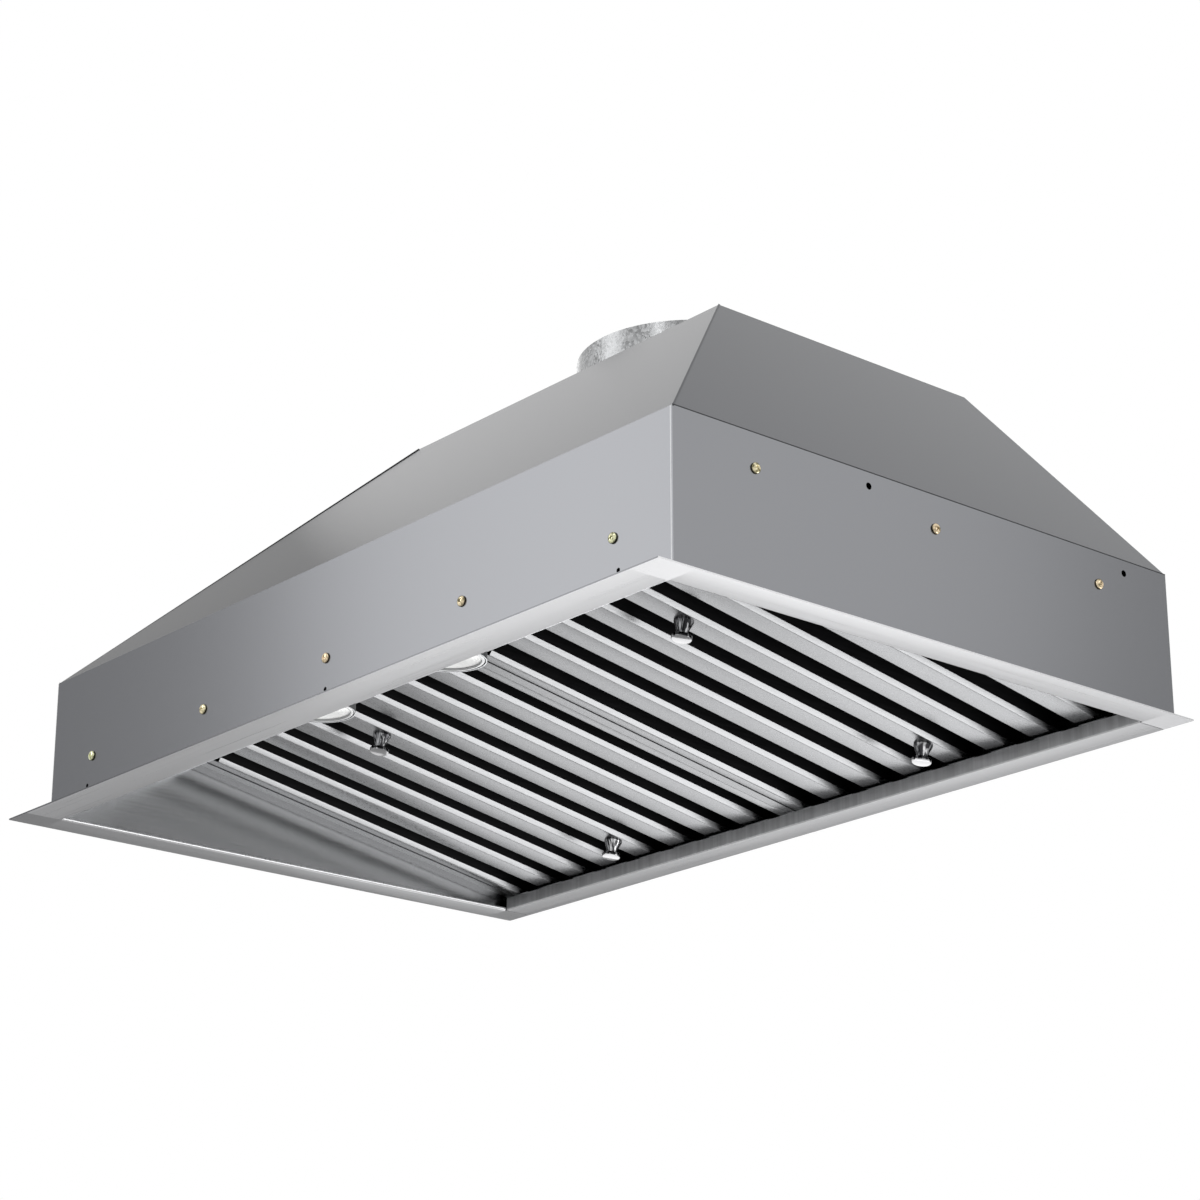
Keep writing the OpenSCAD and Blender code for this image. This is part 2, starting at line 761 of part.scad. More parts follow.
module impeller() {
    ring_t = 1.5;
    disc_t = 2;
    blade_t = 1.2;
    blade_lean = 32;
    hub_r = 16;
    hub_l = 22;
    mid_r = wheel_d / 2 - blade_w / 2;
    blade_l = blade_w * 0.86;
    root = 0.2;
    color("lightgray") on_shaft() difference() {
        union() {
            for (z = [-wheel_w / 2, wheel_w / 2 - ring_t])
                translate([0, 0, z]) difference() {
                    cylinder(h = ring_t, d = wheel_d);
                    translate([0, 0, -eps])
                        cylinder(h = ring_t + 2 * eps, r = wheel_d / 2 - blade_w);
                }
            translate([0, 0, wheel_disc_x]) cylinder(h = disc_t, d = wheel_d);
            translate([0, 0, wheel_disc_x - hub_l / 4]) cylinder(h = hub_l, r = hub_r);
            for (i = [0:blade_count - 1])
                rotate([0, 0, i * 360 / blade_count]) translate([mid_r, 0, 0])
                    rotate([0, 0, blade_lean])
                        cube([blade_l, blade_t, wheel_w - 2 * (ring_t - root)], center = true);
        }
        translate([0, 0, -plate_x]) cylinder(h = scroll_w, d = shaft_d);
    }
}

module motor_shaft() {
    z0 = motor_x1 - shaft_in;
    color("silver") on_shaft() translate([0, 0, z0])
        cylinder(h = wheel_disc_x + shaft_past - z0, d = shaft_d);
}

module motor() {
    bell_h = 12;
    bell_r = 14;
    step = 6;
    bore_l = shaft_in + 2;
    color("dimgray") on_shaft() difference() {
        union() {
            translate([0, 0, bracket_x]) cylinder(h = motor_x1 - bell_h - bracket_x, d = motor_d);
            translate([0, 0, motor_x1 - bell_h]) cylinder(h = bell_h / 2, d = motor_d - 2 * step);
            translate([0, 0, motor_x1 - bell_h]) cylinder(h = bell_h, r = bell_r);
        }
        translate([0, 0, motor_x1 - bore_l])
            cylinder(h = bore_l + eps, d = shaft_d + 2 * shaft_clear);
    }
}

module motor_bracket() {
    hub_r = 26;
    arm_l = bracket_screw_r + bracket_edge;
    color("silver") on_shaft() translate([0, 0, bracket_x - bracket_t]) difference() {
        union() {
            cylinder(h = bracket_t, r = hub_r);
            for (a = bracket_angles)
                rotate([0, 0, a]) translate([0, -bracket_arm_w / 2, 0])
                    cube([arm_l, bracket_arm_w, bracket_t]);
        }
        for (a = bracket_angles)
            rotate([0, 0, a]) translate([bracket_screw_r, 0, -eps])
                cylinder(h = bracket_t + 2 * eps, d = shank_d);
    }
}

module bracket_screws() {
    color("silver") on_shaft() for (a = bracket_angles)
        rotate([0, 0, a]) translate([bracket_screw_r, 0, bracket_x - bracket_t])
            mirror([0, 0, 1]) pan_screw(bracket_t + scroll_sheet);
}

capacitor_d = 35;
capacitor_l = 62;
capacitor_angle = 330;

module capacitor() {
    r = (inlet_d / 2 + scroll_radius(capacitor_angle - cutoff_angle)) / 2;
    color("whitesmoke") on_shaft() rotate([0, 0, capacitor_angle])
        translate([r, 0, bracket_x - capacitor_l]) cylinder(h = capacitor_l, d = capacitor_d);
}

module terminal_box() {
    z1 = top_z - sheet;
    lo = [box_x0, gland_y - box_d / 2, z1 - box_h];
    hi = [box_x1, gland_y + box_d / 2, z1];
    color("gray") difference() {
        block(lo, hi);
        block(lo + [box_wall, box_wall, box_wall], hi + [-box_wall, -box_wall, eps]);
    }
}

module cable_gland() {
    below = 6;
    head = 4;
    z1 = top_z - sheet;
    color("black") difference() {
        union() {
            hole_z(gland_x, gland_y, z1 - below, top_z + head, gland_bore_d + 2 * gland_wall);
            hole_z(gland_x, gland_y, top_z, top_z + head, gland_flange_d);
        }
        hole_z(gland_x, gland_y, z1 - below - eps, top_z + head + eps, gland_bore_d);
    }
}

// A route with each corner cut twice, so that the lead bends softly
function cut_corners(p) = concat([p[0]],
    [for (i = [0:len(p) - 2]) each [0.75 * p[i] + 0.25 * p[i + 1], 0.25 * p[i] + 0.75 * p[i + 1]]],
    [p[len(p) - 1]]);
function unit(v) = v / norm(v);
function heading(p, i) = let (n = len(p) - 1)
    unit(i == 0 ? p[1] - p[0] : i == n ? p[n] - p[n - 1]
        : unit(p[i + 1] - p[i]) + unit(p[i] - p[i - 1]));
// The side direction at each point, carried along without twist
function side_at(p, i) = i == 0 ? unit(cross(heading(p, 0), [0.36, 0.48, 0.8]))
    : let (t = heading(p, i), b = side_at(p, i - 1)) unit(b - (b * t) * t);

// A round lead along a chain of points: one closed tube of flat facets
module lead(points) {
    sides = 10;
    p = cut_corners(cut_corners(points));
    n = len(p);
    rings = [for (i = [0:n - 1]) let (t = heading(p, i), b = side_at(p, i), c = cross(t, b))
        for (k = [0:sides - 1])
            p[i] + lead_d / 2 * (cos(k * 360 / sides) * b + sin(k * 360 / sides) * c)];
    walls = [for (i = [0:n - 2], k = [0:sides - 1]) let (k2 = (k + 1) % sides)
        each [[i * sides + k2, i * sides + k, (i + 1) * sides + k],
            [i * sides + k2, (i + 1) * sides + k, (i + 1) * sides + k2]]];
    ends = [[for (k = [0:sides - 1]) k], [for (k = [sides - 1:-1:0]) (n - 1) * sides + k]];
    polyhedron(rings, concat(walls, ends));
}

// How the motor's lead keeps clear of the motor's shaft, the scroll and the terminal box's floor
motor_lead_up = 10;
motor_lead_out = 12;
motor_lead_round = 32;
motor_lead_rise = 30;
motor_lead_turn = 40;
motor_lead_in = 6;

// The motor's lead goes round the front of the scroll to the terminal box
module motor_lead() {
    scroll_front = shaft_y - scroll_radius(180 - cutoff_angle);
    start = [bracket_x - bracket_t, shaft_y, shaft_z + motor_lead_up];
    front = [start.x - motor_lead_out, scroll_front - motor_lead_round, shaft_z + motor_lead_rise];
    entry = [gland_x, gland_y - box_d / 2, top_z - sheet - box_h + motor_lead_in];
    color("black") lead([
        start, [front.x, start.y, start.z], front, [entry.x, front.y, front.z],
        [entry.x, entry.y - motor_lead_turn, entry.z], entry,
    ]);
}

// A point over the light panel, from its distance up the panel and over its underside
function over_panel(x, up, over) = [x,
    open_y0 + up * cos(panel_slope) - over * sin(panel_slope),
    panel_z0 + up * sin(panel_slope) + over * cos(panel_slope)];

// Where the control lead leaves the terminal box, how near it comes to the front slope, and
// where it bends down to the control box
control_lead_side = 25;
control_lead_gap = 14.5;
control_lead_low = 43;
control_lead_bend = 20;
control_lead_x = 30;
control_lead_over = 30;

// The control lead follows the casing's front slope down to the control box
module control_lead() {
    start = [box_x1 - control_lead_side, gland_y - box_d / 2, top_z - sheet - box_h / 2];
    low_z = fold_z + control_lead_low;
    bend_z = fold_z + control_lead_bend;
    box_top = liner_t + control_h;
    color("black") lead([
        start, [start.x, back_y - top_d, start.z],
        [start.x, front_at(low_z, sheet) + control_lead_gap, low_z],
        [control_lead_x, front_at(bend_z, sheet) + 2 * control_lead_gap, bend_z],
        over_panel(control_lead_x, panel_len / 2, box_top + control_lead_over),
        over_panel(control_lead_x, panel_len / 2, box_top),
    ]);
}

// One side rail of a filter's frame in X and height: a channel with one edge turned up and out
module side_rail_profile(flank) {
    hw = filter_w / 2;
    t = filter_t;
    translate([hw - t, 0]) square([t, filter_h]);
    translate([hw - side_flat, 0]) square([side_flat, t]);
    translate([hw - side_flat, filter_h - t]) square([side_flat, t]);
    if (flank) polygon([
        [hw - side_flat, 0], [hw - side_flat - slat_lean, slat_h],
        [hw - side_flat - slat_lean + t, slat_h], [hw - side_flat + t, t / 2],
    ]);
}

// A baffle's section: a flat with both edges turned up and leaning out
module baffle_profile(flat, lean, h) {
    t = filter_t;
    polygon([
        [-flat / 2, 0], [flat / 2, 0], [flat / 2 + lean, h], [flat / 2 + lean - t, h],
        [flat / 2 - t / 2, t], [-flat / 2 + t / 2, t], [-flat / 2 - lean + t, h],
        [-flat / 2 - lean, h],
    ]);
}

// Extrudes a profile drawn in X and height along the filters' slope
module along_filter(s, v0, v1) {
    in_filter_plane() translate([s * filter_cx, v1, 0]) rotate([90, 0, 0])
        linear_extrude(v1 - v0) children();
}

module filter_frame(s) {
    t = filter_t;
    flank_end = end_flat + seat_clear;
    color("silver") {
        for (m = [0, 1]) {
            along_filter(s, filter_v0, filter_v1) mirror([m, 0]) side_rail_profile(false);
            along_filter(s, filter_v0 + flank_end, filter_v1 - flank_end) mirror([m, 0])
                side_rail_profile(true);
        }
        hx = filter_w / 2 - t;
        in_filter_plane() translate([s * filter_cx, 0, 0]) for (end = [0, 1]) {
            v = end > 0 ? filter_v1 - end_flat : filter_v0;
            web = end > 0 ? filter_v1 - t : filter_v0;
            block([-hx, web, t], [hx, web + t, filter_h - t]);
            block([-hx, v, t], [hx, v + end_flat, 2 * t]);
            block([-hx, v, filter_h - 2 * t], [hx, v + end_flat, filter_h - t]);
        }
    }
}

module left_filter_frame() { filter_frame(-1); }

module right_filter_frame() { filter_frame(1); }

knob_vs = [filter_v0 + knob_front, filter_v1 - knob_back];

module lower_baffles(s) {
    mid = (slat_count + 1) / 2;
    color("silver") difference() {
        for (i = [1:slat_count])
            along_filter(s, filter_v0 + filter_t, filter_v1 - filter_t)
                translate([(i - mid) * slat_pitch, 2 * filter_t])
                    baffle_profile(slat_w, slat_lean, slat_h);
        in_filter_plane() for (v = knob_vs)
            hole_z(s * filter_cx, v, 0, slat_h, shank_d);
    }
}

module left_lower_baffles() { lower_baffles(-1); }

module right_lower_baffles() { lower_baffles(1); }

module upper_baffles(s) {
    mid = (slat_count + 2) / 2;
    color("dimgray") for (i = [1:slat_count + 1])
        along_filter(s, filter_v0 + filter_t, filter_v1 - filter_t)
            translate([(i - mid) * slat_pitch, filter_h - 2 * filter_t]) mirror([0, 1])
                baffle_profile(cap_w, slat_lean, cap_h);
}

module left_upper_baffles() { upper_baffles(-1); }

module right_upper_baffles() { upper_baffles(1); }

// A turned pull knob with its stud and nut, hung from its baffle at height zero
module knob() {
    edge = 0.7;
    nut_d = 7.6;
    nut_h = 2.6;
    disc_r = knob_disc_d / 2;
    low = knob_cone_h + knob_disc_h;
    rotate_extrude() polygon([
        [0, filter_t + nut_h], [shank_d / 2, filter_t + nut_h], [shank_d / 2, 0],
        [knob_base_d / 2, 0], [knob_base_d / 2, -edge], [knob_waist_d / 2, -knob_cone_h],
        [disc_r - edge, -knob_cone_h], [disc_r, -knob_cone_h - edge], [disc_r, -low + edge],
        [disc_r - edge, -low], [0, -low],
    ]);
    translate([0, 0, filter_t]) difference() {
        cylinder(h = nut_h, d = nut_d, $fn = 6);
        translate([0, 0, -eps]) cylinder(h = nut_h + 2 * eps, d = shank_d);
    }
}

module knobs(s) {
    color("lightgray") in_filter_plane() for (v = knob_vs)
        translate([s * filter_cx, v, 2 * filter_t]) knob();
}

module left_knobs() { knobs(-1); }

module right_knobs() { knobs(1); }

bezel_lip_h = 2;
bezel_t = 1.6;
lens_gap = 0.1;
lens_r = lamp_d / 2 - bezel_t - lens_gap;
lens_h = 3;

module at_lamp(s) {
    translate([s * lamp_x, lamp_y, lamp_z]) children();
}

module lamp_bezel(s) {
    r = lamp_d / 2;
    edge = 0.8;
    color("silver") at_lamp(s) rotate_extrude() polygon([
        [r - bezel_w, 0], [r - edge, 0], [r, edge], [r, bezel_h], [r - bezel_t, bezel_h],
        [r - bezel_t, bezel_lip_h], [r - bezel_w, bezel_lip_h],
    ]);
}

module left_lamp_bezel() { lamp_bezel(-1); }

module right_lamp_bezel() { lamp_bezel(1); }

module lamp_lens(s) {
    color("white") at_lamp(s) translate([0, 0, bezel_lip_h]) cylinder(h = lens_h, r = lens_r);
}

module left_lamp_lens() { lamp_lens(-1); }

module right_lamp_lens() { lamp_lens(1); }

module lamp_can(s) {
    foot = bezel_lip_h + lens_h;
    rim_h = 2;
    sink_r = lamp_d / 2 - 4;
    color("gray") at_lamp(s) {
        translate([0, 0, foot]) cylinder(h = bezel_h - foot + eps, r = lens_r);
        translate([0, 0, bezel_h]) cylinder(h = rim_h, d = lamp_d);
        translate([0, 0, bezel_h]) cylinder(h = can_h, r = sink_r);
    }
}

module left_lamp_can() { lamp_can(-1); }

module right_lamp_can() { lamp_can(1); }

// Sizes of the control box over the panel, and of what is in it
plate_t = 2;
control_h = 22;
control_w = plate_w + 8;
control_d = plate_h + 8;
control_wall = 1.5;
board_over = 12;
board_t = 1.6;
switch_foot = 6.5;
switch_d = 7;
stem_d = 3;
stem_clear = 0.1;
stem_top = 8.5;

// Each button's place, on the panel's underside
module at_button(i) {
    on_panel() translate([button_x(i), panel_len / 2, 0]) children();
}

module control_plate() {
    corner = 4;
    color("darkgray") difference() {
        on_panel() translate([0, panel_len / 2, -plate_t]) linear_extrude(plate_t) union() {
            square([plate_w - 2 * corner, plate_h], center = true);
            square([plate_w, plate_h - 2 * corner], center = true);
            for (sx = [-1, 1], sy = [-1, 1])
                translate([sx * (plate_w / 2 - corner), sy * (plate_h / 2 - corner)])
                    circle(corner);
        }
        for (i = [1:button_count]) at_button(i) translate([0, 0, -plate_t - eps])
            cylinder(h = plate_t + 2 * eps, d = button_d + 2 * button_clear);
    }
}

module control_box() {
    color("dimgray") on_panel() translate([0, panel_len / 2, 0]) difference() {
        block([-control_w / 2, -control_d / 2, liner_t],
            [control_w / 2, control_d / 2, liner_t + control_h]);
        block([-control_w / 2 + control_wall, -control_d / 2 + control_wall, liner_t - eps],
            [control_w / 2 - control_wall, control_d / 2 - control_wall,
                liner_t + control_h - control_wall]);
    }
}

module control_board() {
    hx = control_w / 2 - control_wall;
    hy = control_d / 2 - control_wall;
    color("darkgreen") difference() {
        union() {
            on_panel() translate([0, panel_len / 2, 0])
                block([-hx, -hy, board_over], [hx, hy, board_over + board_t]);
            for (i = [1:button_count]) at_button(i) translate([0, 0, switch_foot])
                cylinder(h = board_over - switch_foot + board_t / 2, d = switch_d);
        }
        for (i = [1:button_count]) at_button(i) translate([0, 0, switch_foot - eps])
            cylinder(h = stem_top + button_travel + eps - (switch_foot - eps),
                d = stem_d + 2 * stem_clear);
    }
}

// A push button: its cap shows under the plate, and its collar keeps it from falling out
module button(i) {
    proud = button_travel + 1;
    rim = 1.6;
    collar_h = 1.5;
    collar_z = liner_t + seat_clear;
    edge = 0.6;
    r = button_d / 2;
    low = plate_t + proud;
    color("gainsboro") at_button(i) rotate_extrude() polygon([
        [0, -low], [r - edge, -low], [r, -low + edge], [r, collar_z], [r + rim, collar_z],
        [r + rim, collar_z + collar_h], [stem_d / 2, collar_z + collar_h],
        [stem_d / 2, stem_top], [0, stem_top],
    ]);
}

module button_1() { button(1); }

module button_2() { button(2); }

module button_3() { button(3); }

module button_4() { button(4); }

module button_5() { button(5); }

front_flange();
back_flange();
left_flange();
right_flange();
front_casing();
left_casing();
right_casing();
back_casing();
top_plate();
left_liner();
right_liner();
light_panel();
lamp_sleeves();
rear_rail();
centre_divider();
side_spacers();
front_screws();
side_screws();
back_rivets();
top_screws();
duct_collar();
damper_stops();
damper_rod();
front_flap();
back_flap();
scroll_wrap();
left_scroll_plate();
right_scroll_plate();
impeller();
motor_shaft();
motor();
motor_bracket();
bracket_screws();
capacitor();
terminal_box();
cable_gland();
motor_lead();
control_lead();
left_filter_frame();
left_lower_baffles();
left_upper_baffles();
left_knobs();
right_filter_frame();
right_lower_baffles();
right_upper_baffles();
right_knobs();
left_lamp_bezel();
left_lamp_lens();
left_lamp_can();
right_lamp_bezel();
right_lamp_lens();
right_lamp_can();
control_plate();
control_box();
control_board();
button_1();
button_2();
button_3();
button_4();
button_5();
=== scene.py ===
# Looks of a range hood insert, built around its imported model: steel sheets, baffle filters,
# chrome knobs, lamps, controls, a blower and a duct collar.
import math

import bmesh
import bpy
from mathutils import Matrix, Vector


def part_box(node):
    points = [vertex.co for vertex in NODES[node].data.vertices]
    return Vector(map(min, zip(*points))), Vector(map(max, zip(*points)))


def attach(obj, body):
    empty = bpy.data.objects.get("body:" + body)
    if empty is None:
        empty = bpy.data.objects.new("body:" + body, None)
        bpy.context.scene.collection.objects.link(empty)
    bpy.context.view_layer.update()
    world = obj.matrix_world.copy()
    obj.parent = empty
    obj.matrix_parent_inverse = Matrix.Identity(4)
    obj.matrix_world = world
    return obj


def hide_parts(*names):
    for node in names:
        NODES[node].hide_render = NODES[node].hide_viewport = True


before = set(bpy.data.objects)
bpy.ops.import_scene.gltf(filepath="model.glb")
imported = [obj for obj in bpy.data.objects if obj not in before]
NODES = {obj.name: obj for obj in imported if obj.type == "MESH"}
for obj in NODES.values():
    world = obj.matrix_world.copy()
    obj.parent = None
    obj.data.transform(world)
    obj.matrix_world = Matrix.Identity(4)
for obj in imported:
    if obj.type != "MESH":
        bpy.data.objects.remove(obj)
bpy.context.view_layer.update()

MM = 0.001


# Materials: small helpers first, then one function for each kind of finish

def new_material(name):
    mat = bpy.data.materials.new(name)
    mat.use_nodes = True
    tree = mat.node_tree
    tree.nodes.clear()
    out = tree.nodes.new("ShaderNodeOutputMaterial")
    shader = tree.nodes.new("ShaderNodeBsdfPrincipled")
    tree.links.new(shader.outputs[0], out.inputs[0])
    return mat, tree, shader


def add(tree, kind, inputs=None, **props):
    node = tree.nodes.new("ShaderNode" + kind)
    for key, value in props.items():
        setattr(node, key, value)
    for key, value in (inputs or {}).items():
        if isinstance(value, bpy.types.NodeSocket):
            tree.links.new(value, node.inputs[key])
        else:
            node.inputs[key].default_value = value
    return node


def object_coords(tree, scale):
    coords = add(tree, "TexCoord").outputs["Object"]
    return add(tree, "Mapping", {"Vector": coords, "Scale": scale}).outputs[0]


def noise(tree, scale, detail=3.0):
    """Noise with its own number of blotches or lines per metre along X, Y and Z."""
    where = object_coords(tree, scale)
    return add(tree, "TexNoise", {"Vector": where, "Scale": 1.0, "Detail": detail,
                                  "Roughness": 0.55}).outputs[0]


def spread(tree, value, low, high, from_low=0.3, from_high=0.7):
    """Stretches a value's usual range, for noise 0.3 to 0.7, to run from low to high."""
    return add(tree, "MapRange", {0: value, 1: from_low, 2: from_high, 3: low, 4: high}).outputs[0]


def mix_colors(tree, factor, first, second):
    """Each input is a socket or a plain value; a factor of one gives the second colour."""
    node = add(tree, "Mix", data_type="RGBA")
    for socket, value in ((0, factor), (6, first), (7, second)):
        if isinstance(value, bpy.types.NodeSocket):
            tree.links.new(value, node.inputs[socket])
        elif socket:
            node.inputs[socket].default_value = (*value[:3], 1)
        else:
            node.inputs[socket].default_value = value
    return node.outputs[2]


def scaled(color, k):
    return tuple(min(c * k, 1.0) for c in color)


def bump(tree, shader, height, strength, distance):
    node = add(tree, "Bump", {"Height": height, "Strength": strength, "Distance": distance})
    tree.links.new(node.outputs[0], shader.inputs["Normal"])


CLOUDS = (3, 3, 3)


def sheet_steel(name, color, rough, grain, contrast=0.08, cloud=0.05, rough_swing=0.06,
                relief=0.02 * MM, rim=0.4):
    """Rolled or brushed sheet: fine lines, faint clouds, roughness that follows the lines, and
    rim as its reflectance at a grazing angle, against a perfect mirror's."""
    mat, tree, shader = new_material(name)
    lines = noise(tree, grain, detail=2.0)
    clouds = noise(tree, CLOUDS, detail=2.0)
    lined = mix_colors(tree, spread(tree, lines, 0, 1), scaled(color, 1 - contrast),
                       scaled(color, 1 + contrast))
    dulled = mix_colors(tree, spread(tree, clouds, 0, cloud), lined, scaled(color, 0.55))
    tree.links.new(dulled, shader.inputs["Base Color"])
    tree.links.new(spread(tree, lines, rough - rough_swing, rough + rough_swing),
                   shader.inputs["Roughness"])
    bump(tree, shader, lines, 0.35, relief)
    shader.inputs["Metallic"].default_value = 1.0
    shader.inputs["Specular Tint"].default_value = (rim, rim, rim, 1)
    return mat


def spangled_zinc(name, color, rough, cells=240.0, swing=0.3):
    """Galvanised sheet: flat crystals, each with its own grey and gloss."""
    mat, tree, shader = new_material(name)
    wobble = noise(tree, (90, 90, 90), detail=2.0)
    where = object_coords(tree, (cells, cells, cells * 0.8))
    shift = add(tree, "VectorMath", {0: where, 1: wobble}, operation="ADD").outputs[0]
    crystal = add(tree, "TexVoronoi", {"Vector": shift, "Scale": 1.0}).outputs["Color"]
    tone = add(tree, "SeparateColor", {0: crystal}).outputs[0]
    clouds = noise(tree, (25, 25, 25), detail=3.0)
    plain = mix_colors(tree, tone, scaled(color, 1 - swing), scaled(color, 1 + swing))
    tree.links.new(mix_colors(tree, spread(tree, clouds, 0, 0.3), plain, scaled(color, 0.8)),
                   shader.inputs["Base Color"])
    tree.links.new(spread(tree, tone, rough - 0.1, rough + 0.12, 0, 1), shader.inputs["Roughness"])
    bump(tree, shader, tone, 0.15, 0.1 * MM)
    shader.inputs["Metallic"].default_value = 1.0
    return mat


def polished(name, color, rough, smear=0.03):
    """Turned and plated metal: almost a mirror, with faint smears."""
    mat, tree, shader = new_material(name)
    smears = noise(tree, (160, 160, 60), detail=3.0)
    tree.links.new(spread(tree, smears, rough, rough + smear), shader.inputs["Roughness"])
    tree.links.new(mix_colors(tree, spread(tree, smears, 0, 0.15), color, scaled(color, 0.7)),
                   shader.inputs["Base Color"])
    shader.inputs["Metallic"].default_value = 1.0
    return mat


def chrome_painted_streaks(name):
    """Chrome with painted reflections: upright streaks in its colour, dark beside bright, as a small
    cone shows them.
    """
    mat, tree, shader = new_material(name)
    dark, bright = (0.04, 0.04, 0.043), (0.8, 0.8, 0.81)
    streaks = noise(tree, (420, 420, 14), detail=2.0)
    tree.links.new(mix_colors(tree, spread(tree, streaks, 0, 1, 0.46, 0.66), dark, bright),
                   shader.inputs["Base Color"])
    tree.links.new(spread(tree, streaks, 0.05, 0.12), shader.inputs["Roughness"])
    shader.inputs["Metallic"].default_value = 1.0
    return mat


def yellow_zinc(name):
    """Passivated zinc: straw green or pink from screw to screw, with dark olive blotches."""
    mat, tree, shader = new_material(name)
    straw, pink, olive = (0.66, 0.67, 0.44), (0.72, 0.58, 0.40), (0.09, 0.08, 0.03)
    batch = noise(tree, (11, 11, 11), detail=0.0)
    blotches = noise(tree, (330, 330, 330), detail=2.0)
    tint = mix_colors(tree, spread(tree, batch, 0, 1, 0.4, 0.6), straw, pink)
    tree.links.new(mix_colors(tree, spread(tree, blotches, 0, 0.9, 0.45, 0.65), tint, olive),
                   shader.inputs["Base Color"])
    tree.links.new(spread(tree, blotches, 0.16, 0.3), shader.inputs["Roughness"])
    shader.inputs["Metallic"].default_value = 1.0
    return mat


FACING_DOWN, STILL_SIDEWAYS = -0.9, -0.7


def with_painted_shade_below(mat, color):
    """Paints shade on the faces that look down: a darker colour, by the height of their normal."""
    tree = mat.node_tree
    shader = next(n for n in tree.nodes if n.type == "BSDF_PRINCIPLED")
    plain = shader.inputs["Base Color"].links[0].from_socket
    height = add(tree, "SeparateXYZ", {0: add(tree, "TexCoord").outputs["Normal"]}).outputs[2]
    share = spread(tree, height, 1, 0, FACING_DOWN, STILL_SIDEWAYS)
    tree.links.new(mix_colors(tree, share, plain, color), shader.inputs["Base Color"])


def plastic(name, color, rough, grain=900.0, coat=0.0):
    mat, tree, shader = new_material(name)
    texture = noise(tree, (grain,) * 3, detail=2.0)
    wear = noise(tree, (14, 14, 14), detail=3.0)
    tree.links.new(mix_colors(tree, spread(tree, wear, 0, 0.35), color, scaled(color, 1.35)),
                   shader.inputs["Base Color"])
    tree.links.new(spread(tree, wear, rough - 0.05, rough + 0.08), shader.inputs["Roughness"])
    bump(tree, shader, texture, 0.25, 0.05 * MM)
    shader.inputs["Coat Weight"].default_value = coat
    return mat


def frosted_glass(name):
    mat, tree, shader = new_material(name)
    shade, light = (0.88, 0.89, 0.88), (0.98, 0.98, 0.97)
    prisms = noise(tree, (700, 700, 700), detail=1.0)
    tree.links.new(mix_colors(tree, spread(tree, prisms, 0, 1), shade, light),
                   shader.inputs["Base Color"])
    tree.links.new(spread(tree, prisms, 0.25, 0.4), shader.inputs["Roughness"])
    bump(tree, shader, prisms, 0.4, 0.2 * MM)
    return mat


# Finishes: first the lines or specks per metre along X, Y and Z

ALONG_X = (4, 1400, 1400)
ALONG_Y = (1400, 4, 1400)
ROLLED = (500, 500, 500)
SOFT_UPRIGHT = (260, 6, 6)
CAST = (300, 300, 300)

SMOOTH = 0.001 * MM
# The next two colours are lit and shaded copies of one flange steel: painted light and painted shade.
PAINTED_LIGHT_STRIP = (0.50, 0.501, 0.508)
PAINTED_SHADE_STRIP = (0.35, 0.351, 0.356)
SHADED_LEDGE = (0.17, 0.171, 0.175)
# Painted shade for the knobs' discs, which look down.
KNOB_DISC_PAINTED_SHADE = (0.17, 0.17, 0.174)

casing_steel = sheet_steel("casing_steel", (0.18, 0.183, 0.192), 0.22, ROLLED, contrast=0.01,
                           cloud=0.04, rough_swing=0.01, relief=SMOOTH, rim=0.36)
top_steel = sheet_steel("top_steel", (0.18, 0.184, 0.19), 0.24, ROLLED, contrast=0.01,
                        rough_swing=0.01, relief=SMOOTH, rim=0.36)
# The flange strips share one steel; the front and right ones carry painted light, the back and left
# ones painted shade.
front_strip_painted_light = sheet_steel("front_strip_painted_light", PAINTED_LIGHT_STRIP, 0.33, ALONG_X, contrast=0.07, rim=0.2)
back_strip_painted_shade = sheet_steel("back_strip_painted_shade", PAINTED_SHADE_STRIP, 0.33, ALONG_X, contrast=0.07, rim=0.2)
right_strip_painted_light = sheet_steel("right_strip_painted_light", scaled(PAINTED_LIGHT_STRIP, 1.06), 0.33, ALONG_Y,
                                contrast=0.07, rim=0.2)
left_strip_painted_shade = sheet_steel("left_strip_painted_shade", PAINTED_SHADE_STRIP, 0.33, ALONG_Y, contrast=0.07, rim=0.2)
liner_steel = sheet_steel("liner_steel", (0.62, 0.625, 0.63), 0.22, ALONG_Y, contrast=0.06,
                          rough_swing=0.03, relief=0.004 * MM)
# Painted shade on the liner's faces that look down, its ledges.
with_painted_shade_below(liner_steel, SHADED_LEDGE)
panel_steel = sheet_steel("panel_steel", (0.60, 0.61, 0.62), 0.32, ALONG_X)
filter_steel = sheet_steel("filter_steel", (0.235, 0.237, 0.242), 0.3, ALONG_Y, contrast=0.1)
shaded_steel = sheet_steel("shaded_steel", (0.018, 0.018, 0.019), 0.45, ALONG_Y, contrast=0.1)
collar_zinc = spangled_zinc("collar_zinc", (0.33, 0.335, 0.34), 0.3, cells=620.0, swing=0.4)
blower_zinc = spangled_zinc("blower_zinc", (0.48, 0.49, 0.5), 0.36, cells=160.0)
zinc_plate = polished("zinc_plate", (0.66, 0.67, 0.68), 0.24, smear=0.12)
chrome = polished("chrome", (0.88, 0.885, 0.89), 0.05)
# Painted reflections streak the knobs' chrome.
knob_chrome_painted_streaks = chrome_painted_streaks("knob_chrome_painted_streaks")
